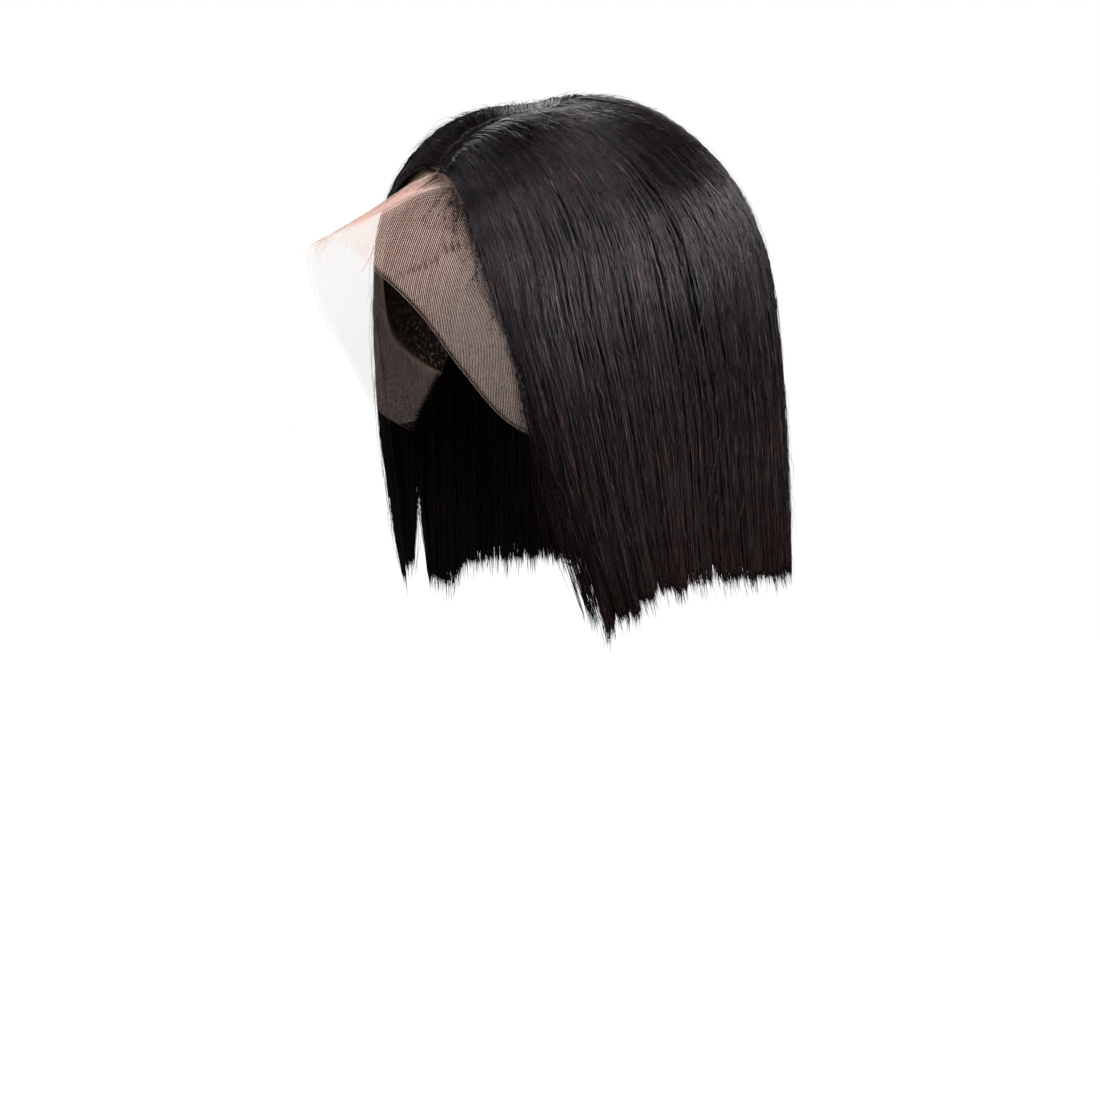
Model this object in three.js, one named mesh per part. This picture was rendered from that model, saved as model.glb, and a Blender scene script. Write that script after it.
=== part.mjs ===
// A lace-front bob wig: straight hair with a centre part on a net cap, its front lace left untrimmed.
// Millimetres. +Z is up, the wearer faces -Y and the wearer's left side is +X.
// The origin is the inside of the cap at the crown, where the wig sits on the head.
import * as THREE from "three";

// Space for the head: a rounded box-like dome about a centre below the crown.
const HEAD = {
  halfWidth: 76,
  halfLength: 99,
  crownHeight: 95,
  napeDepth: 150,
  planPower: 2.15,
  profilePower: 2.45,
};

// Cloth walls and the space left between neighbours.
const CAP_WALL = 1.2;
const LACE_WALL = 1.0;
const SEAM_GAP = 0.4;
const HAIR_CLEARANCE = { root: 1.6, fall: 3.4 };
const PART_HALF_GAP = 0.4;
const LOCK_GAP = 0.003;

// The seam between lace and cap runs over the crown from ear to ear.
const SEAM = { sweep: 116, lean: 0.19 };

// Lower rim of the cap: azimuth in degrees from the front, height.
const NAPE_RIM = [
  { azimuth: 99, z: -131 },
  { azimuth: 118, z: -139 },
  { azimuth: 148, z: -158 },
  { azimuth: 180, z: -165 },
];

// Hairline on the head, from the front to beside the ear.
const HAIRLINE = [
  { azimuth: 0, z: -28 },
  { azimuth: 18, z: -42 },
  { azimuth: 27, z: -68 },
  { azimuth: 33, z: -97 },
  { azimuth: 41.5, z: -120 },
  { azimuth: 60, z: -138 },
  { azimuth: 76, z: -147 },
];

// Free edge of the untrimmed lace, row for row with the hairline.
const LACE_EDGE = [
  { x: 0, y: -158, z: -62 },
  { x: 20, y: -153, z: -69 },
  { x: 36, y: -141.5, z: -86 },
  { x: 46, y: -123, z: -110 },
  { x: 49.5, y: -103, z: -134 },
  { x: 57, y: -78, z: -162 },
  { x: 66, y: -45, z: -178 },
];

// Soft folds in the loose lace: place across it, width, height.
const LACE_FOLDS = [
  { at: -0.36, width: 0.09, height: 1.8 },
  { at: -0.16, width: 0.05, height: 1.6 },
  { at: 0.02, width: 0.05, height: 1.4 },
  { at: 0.2, width: 0.08, height: -1.6 },
  { at: 0.46, width: 0.1, height: 1.6 },
];
const LACE_CROWN = -1;

// Outline of the hair seen from above, from ear level to the hem.
const HAIR_PLAN_POWER = 2.3;
const HAIR_WIDEST_Y = 13;
const LEVELS = [
  { z: -105, halfWidth: 102, backY: 128, frontX: 56, frontY: -78 },
  { z: -160, halfWidth: 105.5, backY: 133, frontX: 68, frontY: -67 },
  { z: -215, halfWidth: 108.5, backY: 136, frontX: 69, frontY: -57 },
  { z: -270, halfWidth: 110, backY: 137, frontX: 77.5, frontY: -37 },
];
const HEM_Z = -259;

// The part, from the hairline to the crown: how far the roots stand off the head.
const PART = [
  { y: -78.5, rise: 2.4 },
  { y: -57, rise: 5 },
  { y: -38, rise: 4 },
  { y: -22, rise: 4.5 },
  { y: -8, rise: 8 },
  { y: 4, rise: 10 },
  { y: 30, rise: 10.5 },
];
const ROOT_LIFT = { left: 1.5, right: 4.5, fadeFrom: 0.35 };
const LIFT_WIDTH = 9;
const COVER = { front: 5.2, back: 7 };

// How round a strand's path is over the head, at the front edge and elsewhere.
const ROUND = { front: 1.7, side: 2.0, blend: 0.3 };

// Thickness of the hair along a strand: degrees over the head, then share of the way to the hem.
const OVER_HEAD = [
  { turn: 0, depth: 5 },
  { turn: 8, depth: 7 },
  { turn: 19, depth: 8 },
  { turn: 32, depth: 9 },
  { turn: 46, depth: 11 },
  { turn: 60, depth: 13 },
  { turn: 75, depth: 15 },
  { turn: 90, depth: 16 },
];
const BELOW_EAR = [
  { fall: 0.2, depth: 16 },
  { fall: 0.4, depth: 15 },
  { fall: 0.6, depth: 13 },
  { fall: 0.78, depth: 11 },
  { fall: 0.91, depth: 8 },
  { fall: 1, depth: 4 },
];
const EDGE_DEPTH = { least: 0.12, blend: 0.16 };

// Where the front lock, the side hair and the back hair meet, as a share from front edge to back.
const SPLIT = { front: 0.12, side: 0.66 };

// Locks in order from the front: width, extra length, slit behind it, how far it stands out.
const FRONT_LOCKS = [
  { width: 1, tip: 13, slit: 22, relief: 0.8 },
  { width: 1.1, tip: 21, slit: 12, relief: 1.2 },
  { width: 1.1, tip: 17, slit: 12, relief: 1.4 },
];
const SIDE_LOCKS = [
  { width: 0.9, tip: 9, slit: 10, relief: 1.6 },
  { width: 1.2, tip: 4, slit: 7, relief: 1.8 },
  { width: 0.8, tip: 0, slit: 9, relief: 1.3 },
  { width: 1.1, tip: 3, slit: 5, relief: 1.9 },
  { width: 1.0, tip: 2, slit: 8, relief: 1.5 },
  { width: 1.3, tip: 0, slit: 11, relief: 2.0 },
  { width: 0.9, tip: 0, slit: 6, relief: 1.4 },
  { width: 1.1, tip: -2, slit: 8, relief: 1.7 },
  { width: 1.0, tip: -1, slit: 5, relief: 1.8 },
  { width: 0.9, tip: -4, slit: 7, relief: 1.4 },
];
const BACK_LOCKS = [
  { width: 1.0, tip: -4, slit: 6, relief: 1.7 },
  { width: 1.2, tip: -3, slit: 8, relief: 2.0 },
  { width: 0.9, tip: -5, slit: 5, relief: 1.4 },
  { width: 1.1, tip: -3, slit: 7, relief: 1.8 },
  { width: 1.0, tip: -5, slit: 6, relief: 1.6 },
  { width: 1.2, tip: -4, slit: 9, relief: 2.0 },
  { width: 0.9, tip: -6, slit: 6, relief: 1.5 },
  { width: 1.1, tip: -4, slit: 7, relief: 1.8 },
  { width: 1.0, tip: -5, slit: 8, relief: 1.6 },
  { width: 1.1, tip: -3, slit: 5, relief: 1.7 },
];
const RIGHT_EXTRA_LENGTH = 12;
const RIGHT_FRONT_LENGTH = -10;
const LOCK_COLUMNS = 4;
const NORMAL_STEP = 0.012;
const ROOT_RELIEF = 0.2;

const COLOURS = { hair: "#1a1413", lace: "#c9a48c", cap: "#241c19" };

const CENTRE = new THREE.Vector3(0, 0, -HEAD.crownHeight);
const radians = THREE.MathUtils.degToRad;
const { lerp, smoothstep } = THREE.MathUtils;

// Distance from the head's centre to its surface along a unit direction.
function headRadius(direction) {
  const depth = direction.z > 0 ? HEAD.crownHeight : HEAD.napeDepth;
  const plan =
    Math.abs(direction.x / HEAD.halfWidth) ** HEAD.planPower +
    Math.abs(direction.y / HEAD.halfLength) ** HEAD.planPower;
  const profile = Math.abs(direction.z / depth) ** HEAD.profilePower;
  return (plan ** (HEAD.profilePower / HEAD.planPower) + profile) ** (-1 / HEAD.profilePower);
}

// A point over the head's surface along a direction from its centre.
function overHead(direction, lift) {
  const unit = direction.clone().normalize();
  return unit.multiplyScalar(headRadius(unit) + lift).add(CENTRE);
}

// Direction from the head's centre to the surface point at an azimuth and a height.
function headDirection(azimuth, z) {
  const depth = z > CENTRE.z ? HEAD.crownHeight : HEAD.napeDepth;
  const angle = radians(azimuth);
  const ring =
    (1 - Math.abs((z - CENTRE.z) / depth) ** HEAD.profilePower) ** (1 / HEAD.profilePower);
  const plan =
    Math.abs(Math.sin(angle) / HEAD.halfWidth) ** HEAD.planPower +
    Math.abs(Math.cos(angle) / HEAD.halfLength) ** HEAD.planPower;
  const reach = ring * plan ** (-1 / HEAD.planPower);
  return new THREE.Vector3(
    reach * Math.sin(angle),
    -reach * Math.cos(angle),
    z - CENTRE.z,
  );
}

// A point moved out, where it lies too low, until it clears the head by a distance.
function clearOfHead(point, lift) {
  const offset = point.clone().sub(CENTRE);
  const distance = offset.length();
  const direction = offset.divideScalar(distance);
  const least = headRadius(direction) + lift;
  return distance >= least ? point : direction.multiplyScalar(least).add(CENTRE);
}

// A smooth curve through points given for one side, mirrored to the other.
function mirroredCurve(points) {
  const other = points.slice(1).map((p) => new THREE.Vector3(-p.x, p.y, p.z));
  return new THREE.CatmullRomCurve3([...other.reverse(), ...points]);
}

// Outward unit normals of a grid of points, from its neighbours along both ways.
function gridNormals(grid) {
  const rows = grid.length;
  const columns = grid[0].length;
  return grid.map((line, row) =>
    line.map((point, column) => {
      const before = grid[Math.max(row - 1, 0)][column];
      const after = grid[Math.min(row + 1, rows - 1)][column];
      const down = after.clone().sub(before);
      const across = line[Math.min(column + 1, columns - 1)]
        .clone()
        .sub(line[Math.max(column - 1, 0)]);
      return across.cross(down).normalize();
    }),
  );
}

// One closed wall between an outer and an inner grid of the same size.
function wallGeometry(outer, inner) {
  const rows = outer.length;
  const columns = outer[0].length;
  const layer = rows * columns;
  const positions = [...outer.flat(), ...inner.flat()].flatMap((p) => [p.x, p.y, p.z]);
  const index = [];
  const quad = (a, b, c, d) => index.push(a, b, c, a, c, d);
  const at = (row, column) => row * columns + column;
  for (let row = 0; row < rows - 1; row++) {
    for (let column = 0; column < columns - 1; column++) {
      const corners = [
        at(row, column),
        at(row + 1, column),
        at(row + 1, column + 1),
        at(row, column + 1),
      ];
      quad(...[...corners].reverse());
      quad(...corners.map((corner) => corner + layer));
    }
  }
  const rim = [
    ...Array.from({ length: columns - 1 }, (_, i) => at(0, i)),
    ...Array.from({ length: rows - 1 }, (_, i) => at(i, columns - 1)),
    ...Array.from({ length: columns - 1 }, (_, i) => at(rows - 1, columns - 1 - i)),
    ...Array.from({ length: rows - 1 }, (_, i) => at(rows - 1 - i, 0)),
  ];
  rim.forEach((start, i) => {
    const end = rim[(i + 1) % rim.length];
    quad(start, start + layer, end + layer, end);
  });
  const geometry = new THREE.BufferGeometry();
  geometry.setAttribute("position", new THREE.Float32BufferAttribute(positions, 3));
  geometry.setIndex(index);
  geometry.computeVertexNormals();
  return geometry;
}

// Direction to the seam at a share from the right ear (-1) to the left ear (1), moved back by a gap.
function seamDirection(share, gap) {
  const angle = radians(SEAM.sweep * share);
  const lean = SEAM.lean * Math.cos(angle) + gap / HEAD.crownHeight;
  return new THREE.Vector3(Math.sin(angle), lean, Math.cos(angle)).normalize();
}

// The cap: a thin dome from the seam to the nape.
function capGeometry() {
  const columns = 24;
  const rows = 9;
  const rim = mirroredCurve(
    [...NAPE_RIM].reverse().map((row) => overHead(headDirection(row.azimuth, row.z), 0)),
  );
  const surface = (lift) =>
    Array.from({ length: rows + 1 }, (_, row) =>
      Array.from({ length: columns + 1 }, (_, column) => {
        const share = (2 * column) / columns - 1;
        const start = seamDirection(share, SEAM_GAP);
        const end = rim.getPoint((share + 1) / 2).sub(CENTRE).normalize();
        return overHead(start.lerp(end, row / rows), lift);
      }),
    );
  return wallGeometry(surface(CAP_WALL), surface(0));
}

// Height of the soft folds across the loose lace.
function foldHeight(share) {
  return LACE_FOLDS.reduce(
    (sum, fold) => sum + fold.height * Math.exp(-(((share - fold.at) / fold.width) ** 2)),
    0,
  );
}

// The lace: over the front of the head from the seam to the hairline, then loose to its free edge.
function laceGeometry() {
  const columns = 34;
  const headRows = 5;
  const looseRows = 6;
  const hairline = mirroredCurve(
    HAIRLINE.map((row) => overHead(headDirection(row.azimuth, row.z), LACE_WALL / 2)),
  );
  const edge = mirroredCurve(LACE_EDGE.map((row) => new THREE.Vector3(row.x, row.y, row.z)));
  const middle = Array.from({ length: headRows + looseRows + 1 }, (_, row) =>
    Array.from({ length: columns + 1 }, (_, column) => {
      const share = 1 - (2 * column) / columns;
      const root = hairline.getPoint((share + 1) / 2);
      if (row <= headRows) {
        const start = seamDirection(share, -SEAM_GAP);
        const end = root.clone().sub(CENTRE).normalize();
        return overHead(start.lerp(end, row / headRows), LACE_WALL / 2);
      }
      const reach = (row - headRows) / looseRows;
      const point = root.lerp(edge.getPoint((share + 1) / 2), reach);
      const bow = LACE_CROWN * 4 * reach * (1 - reach) * (1 - share * share);
      point.z += bow + foldHeight(share) * reach * (1.4 - 0.4 * reach);
      return point;
    }),
  );
  const normals = gridNormals(middle);
  const surface = (lift) =>
    middle.map((line, row) =>
      line.map((point, column) => point.clone().addScaledVector(normals[row][column], lift)),
    );
  return wallGeometry(surface(LACE_WALL / 2), surface(-LACE_WALL / 2));
}

// A point of a hair outline seen from above, at a share from the front edge (0) to the back (1).
function outlinePoint(level, share) {
  const power = 2 / HAIR_PLAN_POWER;
  const frontAngle = Math.PI - Math.asin((level.frontX / level.halfWidth) ** (1 / power));
  const angle = frontAngle * (1 - share);
  const forward = (HAIR_WIDEST_Y - level.frontY) / Math.abs(Math.cos(frontAngle)) ** power;
  const reach = angle < Math.PI / 2 ? level.backY - HAIR_WIDEST_Y : -forward;
  return new THREE.Vector2(
    level.halfWidth * Math.abs(Math.sin(angle)) ** power,
    HAIR_WIDEST_Y + reach * Math.abs(Math.cos(angle)) ** power,
  );
}

// The root of a strand on the part.
function rootPoint(share) {
  const y = lerp(PART[0].y, PART.at(-1).y, share);
  const next = Math.max(PART.findIndex((row) => row.y >= y), 1);
  const [before, after] = [PART[next - 1], PART[next]];
  const rise = lerp(before.rise, after.rise, smoothstep(y, before.y, after.y));
  const arch = (1 - Math.abs(y / HEAD.halfLength) ** HEAD.profilePower) ** (1 / HEAD.profilePower);
  const top = HEAD.crownHeight * (arch - 1);
  return new THREE.Vector3(PART_HALF_GAP * (1 - share ** 6), y, top + rise);
}

// The outer form of the left-hand hair: the point of a strand at one station along it.
function strandPoint(share, station, lift, extraLength) {
  const below = LEVELS.map((level) => {
    const outline = outlinePoint(level, share);
    return new THREE.Vector3(outline.x, outline.y, level.z);
  });
  if (station.fall !== undefined) {
    const [top, bottom] = [LEVELS[0].z, LEVELS.at(-1).z];
    const z = lerp(top, HEM_Z - extraLength, station.fall);
    const reached = Math.min((z - top) / (bottom - top), 1);
    return new THREE.CatmullRomCurve3(below).getPoint(reached).setZ(z);
  }
  const root = rootPoint(share);
  const edge = smoothstep(share, 0, ROUND.blend);
  const power = 2 / lerp(ROUND.front, ROUND.side, edge);
  const out = Math.sin(radians(station.turn)) ** power;
  const up = Math.max(Math.cos(radians(station.turn)), 0) ** power;
  const point = root.clone().lerp(below[0], out);
  const fade = 1 - smoothstep(share, ROOT_LIFT.fadeFrom, SPLIT.side);
  const raised = lift * fade * (1 - Math.exp(-((point.x / LIFT_WIDTH) ** 2)));
  point.z = lerp(below[0].z, root.z, up) + raised * up;
  const cover = lerp(COVER.front, COVER.back, edge) * smoothstep(station.turn, 0, 14);
  return clearOfHead(point, cover);
}

// The same form all round the head: past a share of 1 it is on the right-hand side.
function hairPoint(share, station, lift, extraLength) {
  if (share <= 1) {
    return strandPoint(share, station, lift, extraLength);
  }
  const point = strandPoint(2 - share, station, lift, extraLength);
  return point.setX(-point.x);
}

// Columns across a run of locks: share from the front, crest height, and change in length.
function lockColumns(locks, from, to) {
  const total = locks.reduce((sum, lock) => sum + lock.width, 0);
  const columns = [{ at: 0, crest: 0, length: locks[0].tip - 6 }];
  let start = 0;
  locks.forEach((lock, i) => {
    for (let step = 1; step <= LOCK_COLUMNS; step++) {
      const part = step / LOCK_COLUMNS;
      const valley = step === LOCK_COLUMNS;
      const next = locks[Math.min(i + 1, locks.length - 1)];
      const level = valley ? Math.min(lock.tip, next.tip) - lock.slit : lock.tip;
      columns.push({
        at: (start + lock.width * part) / total,
        crest: valley ? 0 : lock.relief * Math.sin(Math.PI * part) ** 0.6,
        length: level - (step === 2 || valley ? 0 : 3),
      });
    }
    start += lock.width;
  });
  return columns.map((column) => ({ ...column, share: lerp(from, to, column.at) }));
}

// A curtain of locks on one backing: columns from front to back, rows from root to tip.
function hairGeometry(columns, lift, extraLength) {
  const stations = [...OVER_HEAD, ...BELOW_EAR];
  const last = stations.length - 1;
  const outer = [];
  const inner = [];
  stations.forEach((station, row) => {
    const above = stations[Math.max(row - 1, 0)];
    const under = stations[Math.min(row + 1, last)];
    const growth = lerp(ROOT_RELIEF, 1, row / last);
    const clearance = lerp(
      HAIR_CLEARANCE.root,
      HAIR_CLEARANCE.fall,
      smoothstep(station.turn ?? 90, 0, 22),
    );
    outer.push([]);
    inner.push([]);
    columns.forEach((column) => {
      const { share, crest } = column;
      const onRight = smoothstep(share, 1, 2 - SPLIT.side);
      const longer = column.length + extraLength + RIGHT_EXTRA_LENGTH * onRight;
      const place = (at, level) => hairPoint(at, level, lift, longer);
      const point = place(share, station);
      const across = place(share + NORMAL_STEP, station).sub(place(share - NORMAL_STEP, station));
      const down = place(share, under).sub(place(share, above));
      const normal = down.cross(across).normalize();
      const fromEdge = Math.min(share, 2 - share);
      const thin = lerp(EDGE_DEPTH.least, 1, smoothstep(fromEdge, 0, EDGE_DEPTH.blend));
      const inside = point.clone().addScaledVector(normal, -station.depth * thin);
      outer[row].push(ownSide(point.addScaledVector(normal, crest * growth), share));
      inner[row].push(ownSide(clearOfHead(inside, clearance), share));
    });
  });
  const turned = (grid) => grid.map((line) => line.reverse());
  return wallGeometry(turned(outer), turned(inner));
}

// A point kept on its own side of the part.
function ownSide(point, share) {
  const side = Math.sign(1 - share);
  const least = rootPoint(Math.min(share, 2 - share)).x;
  return point.setX(side * Math.max(side * point.x, least));
}

// The same geometry on the other side of the head.
function mirroredGeometry(geometry) {
  const copy = geometry.clone().applyMatrix4(new THREE.Matrix4().makeScale(-1, 1, 1));
  const index = copy.index.array;
  for (let i = 0; i < index.length; i += 3) {
    [index[i + 1], index[i + 2]] = [index[i + 2], index[i + 1]];
  }
  return copy;
}

const group = new THREE.Group();

function addPiece(name, geometry, colour, roughness) {
  const material = new THREE.MeshStandardMaterial({ color: colour, roughness });
  const mesh = new THREE.Mesh(geometry, material);
  mesh.name = name;
  group.add(mesh);
}

const frontColumns = lockColumns(FRONT_LOCKS, 0, SPLIT.front - LOCK_GAP);
const sideColumns = lockColumns(SIDE_LOCKS, SPLIT.front + LOCK_GAP, SPLIT.side - LOCK_GAP);
const backColumns = lockColumns(BACK_LOCKS, SPLIT.side + LOCK_GAP, 2 - SPLIT.side - LOCK_GAP);

addPiece("cap", capGeometry(), COLOURS.cap, 0.8);
addPiece("lace_front", laceGeometry(), COLOURS.lace, 0.7);
addPiece("front_lock_left", hairGeometry(frontColumns, ROOT_LIFT.left, 0), COLOURS.hair, 0.4);
addPiece("side_hair_left", hairGeometry(sideColumns, ROOT_LIFT.left, 0), COLOURS.hair, 0.4);
addPiece(
  "front_lock_right",
  mirroredGeometry(hairGeometry(frontColumns, ROOT_LIFT.right, RIGHT_FRONT_LENGTH)),
  COLOURS.hair,
  0.4,
);
addPiece(
  "side_hair_right",
  mirroredGeometry(hairGeometry(sideColumns, ROOT_LIFT.right, RIGHT_EXTRA_LENGTH)),
  COLOURS.hair,
  0.4,
);
addPiece("back_hair", hairGeometry(backColumns, ROOT_LIFT.left, 0), COLOURS.hair, 0.4);

export default group;
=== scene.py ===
"""A straight bob wig with a centre part on a net cap, its front lace left untrimmed."""

import logging
import math
from dataclasses import dataclass, field, replace
from enum import Enum

import bpy
import numpy as np
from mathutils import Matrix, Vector


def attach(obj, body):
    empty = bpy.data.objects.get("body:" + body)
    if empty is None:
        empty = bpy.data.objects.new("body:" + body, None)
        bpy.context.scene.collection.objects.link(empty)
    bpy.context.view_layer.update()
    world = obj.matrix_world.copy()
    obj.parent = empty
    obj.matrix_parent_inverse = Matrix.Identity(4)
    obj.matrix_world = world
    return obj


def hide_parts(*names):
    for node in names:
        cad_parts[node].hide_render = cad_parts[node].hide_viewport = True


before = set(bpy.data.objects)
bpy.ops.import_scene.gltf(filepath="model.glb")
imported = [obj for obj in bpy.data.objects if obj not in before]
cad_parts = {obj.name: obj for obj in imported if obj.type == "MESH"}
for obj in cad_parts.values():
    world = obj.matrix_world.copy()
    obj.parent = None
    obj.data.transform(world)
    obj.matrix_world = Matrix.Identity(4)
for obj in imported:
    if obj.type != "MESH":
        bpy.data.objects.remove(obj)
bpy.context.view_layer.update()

log = logging.getLogger("wig")

# Short names for the types in signatures.
Array = np.ndarray
Pair = tuple[float, float]
Rows = tuple[tuple[float, ...], ...]
Stops = tuple[tuple[float, str], ...]
Material = bpy.types.Material
Piece = bpy.types.Object

MM = 0.001
SEED = 20
NO_LENGTH = 1e-9
# Steps of this share of a turn spread evenly however many are taken.
GOLDEN = (math.sqrt(5) - 1) / 2
BODY = "root"

# The map that strand colours follow: across it the tint, along it the way from root to tip.
STRAND_MAP = "OFBake"
MAP_MARGIN = 0.01

# Where the front locks end and the back begins, counted from the front edge to the middle of the back.
SPLIT_FRONT, SPLIT_SIDE = 0.12, 0.66
# Room that the lace and the cap each leave at the seam between them, in mm.
SEAM_GAP = 0.4
# Rows of the lace, counted from the seam.
HAIRLINE, HALFWAY, FREE_EDGE = 1.0, 1.5, 2.0


class Side(Enum):
    """A side of the wig, as the sign of its x."""

    LEFT = 1
    RIGHT = -1


class Growth(Enum):
    """Where a strand starts: at the part, or lower down on the cap."""

    PART = "part"
    CAP = "cap"


def smoothstep(value: Array, low: float, high: float) -> Array:
    """A soft step from 0 at low to 1 at high."""
    share = np.clip((np.asarray(value, float) - low) / (high - low), 0, 1)
    return share * share * (3 - 2 * share)


def mix(start: Array, end: Array, share: Array) -> Array:
    """The value at a share of the way from start to end."""
    return start + (end - start) * share


def bell(offset: Array, width: float) -> Array:
    """A bell curve: 1 at no offset, and nearly nothing two widths away."""
    return np.exp(-((offset / width) ** 2))


def fading(distance: Array, reach: float) -> Array:
    """A share that falls off from 1 over a reach."""
    return np.exp(-distance / reach)


def from_edge(share: Array) -> Array:
    """Places round the wig counted from the front edge of their own side."""
    return 1 - np.abs(1 - share)


def unit(vectors: Array) -> Array:
    """Vectors along the last axis at length one."""
    return vectors / np.maximum(np.linalg.norm(vectors, axis=-1, keepdims=True), NO_LENGTH)


def mirrored(points: Array) -> Array:
    """Points for one side, from the middle out, with their mirror images before them."""
    return np.concatenate([(points * [-1, 1, 1])[:0:-1], points])


def smooth_curve(points: Array, place: Array) -> Array:
    """Points on a smooth curve through evenly counted points.

    Args:
        points: the points on the curve, counted along the first axis; any further axes but the
            last match place.
        place: where along the curve, counted in points from the first.

    Returns:
        One point for each place.
    """
    last = len(points) - 1
    padded = np.concatenate([[2 * points[0] - points[1]], points, [2 * points[-1] - points[-2]]])
    start = np.clip(np.floor(place).astype(int), 0, last - 1)
    t = np.clip(place - start, 0, 1)[..., None]
    if points.ndim == 2:
        a, b, c, d = (padded[start + k] for k in range(4))
    else:
        index = np.broadcast_to(start[None, ..., None], (1, *place.shape, points.shape[-1]))
        a, b, c, d = (np.take_along_axis(padded, index + k, 0)[0] for k in range(4))
    bend = 2 * a - 5 * b + 4 * c - d
    twist = 3 * b - a - 3 * c + d
    return b + 0.5 * t * (c - a + t * (bend + t * twist))


@dataclass
class Chance:
    """Seeded draws for a number of hairs, one row for each."""

    rng: np.random.Generator
    count: int

    def between(self, span: Pair) -> Array:
        """An even draw between two values."""
        return self.rng.uniform(*span, (self.count, 1))

    def about(self, spread: float, middle: float = 0.0) -> Array:
        """A draw to both sides of a middle value."""
        return self.rng.normal(middle, spread, (self.count, 1))

    def mostly_small(self, mean: float, most: float) -> Array:
        """A draw that is seldom large, up to a limit."""
        return np.minimum(self.rng.exponential(mean, (self.count, 1)), most)

    def happens(self, share: float) -> Array:
        """True for about a share of the hairs."""
        return self.rng.random((self.count, 1)) < share


@dataclass(frozen=True)
class Dome:
    """The form that cap and lace lie on: a rounded, boxy dome about a centre below the crown, in mm."""

    half_width: float = 76
    half_length: float = 99
    crown_height: float = 95
    nape_depth: float = 150
    plan_power: float = 2.15
    profile_power: float = 2.45
    seam_sweep: float = 116
    seam_lean: float = 0.19

    @property
    def centre(self) -> Array:
        """The middle of the dome."""
        return np.array([0, 0, -self.crown_height])

    def radius(self, way: Array) -> Array:
        """Distance from the centre to the surface along unit directions.

        Args:
            way: unit directions along the last axis.

        Returns:
            One distance for each direction.
        """
        depth = np.where(way[..., 2] > 0, self.crown_height, self.nape_depth)
        plan = np.abs(way[..., 0] / self.half_width) ** self.plan_power
        plan = plan + np.abs(way[..., 1] / self.half_length) ** self.plan_power
        profile = np.abs(way[..., 2] / depth) ** self.profile_power
        flat = plan ** (self.profile_power / self.plan_power)
        return (flat + profile) ** (-1 / self.profile_power)

    def over(self, way: Array, lift: float) -> Array:
        """Points at a height over the surface along directions from the centre."""
        straight = unit(way)
        return self.centre + straight * (self.radius(straight) + lift)[..., None]

    def toward(self, azimuth: float, z: float) -> Array:
        """Direction from the centre to a point of the surface.

        Args:
            azimuth: degrees from the front.
            z: the point's height in mm.

        Returns:
            x, y and z of the direction.
        """
        rise = z + self.crown_height
        depth = self.crown_height if rise > 0 else self.nape_depth
        angle = math.radians(azimuth)
        ring = (1 - abs(rise / depth) ** self.profile_power) ** (1 / self.profile_power)
        plan = abs(math.sin(angle) / self.half_width) ** self.plan_power
        plan += abs(math.cos(angle) / self.half_length) ** self.plan_power
        reach = ring * plan ** (-1 / self.plan_power)
        return np.array([reach * math.sin(angle), -reach * math.cos(angle), rise])

    def line(self, rows: Rows, lift: float) -> Array:
        """Points over the surface at rows of azimuth and height."""
        return np.array([self.over(self.toward(*row), lift) for row in rows])

    def clear(self, points: Array, lift: Array) -> Array:
        """Points moved out, where they lie too low, until they clear the surface.

        Args:
            points: points along the last axis, in mm.
            lift: the least height over the surface.

        Returns:
            The points, moved straight away from the centre.
        """
        offset = points - self.centre
        distance = np.linalg.norm(offset, axis=-1)
        way = offset / distance[..., None]
        least = self.radius(way) + lift
        return self.centre + way * np.maximum(distance, least)[..., None]

    def arch(self, y: Array) -> Array:
        """Height of the surface along its middle line."""
        arch = (1 - np.abs(y / self.half_length) ** self.profile_power) ** (1 / self.profile_power)
        return self.crown_height * (arch - 1)

    def seam(self, share: Array, back: float) -> Array:
        """Unit directions to the seam between lace and cap.

        Args:
            share: places from the seam's right end (-1) over the top to its left end (1).
            back: how far behind the seam, in mm.

        Returns:
            x, y and z along the last axis.
        """
        angle = np.radians(self.seam_sweep * share)
        lean = self.seam_lean * np.cos(angle) + back / self.crown_height
        return unit(np.stack([np.sin(angle), lean, np.cos(angle)], -1))


@dataclass(frozen=True)
class Level:
    """The outline of the hair at one height, seen from above, in mm."""

    z: float
    half_width: float
    back_y: float
    front_x: float
    front_y: float


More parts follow.
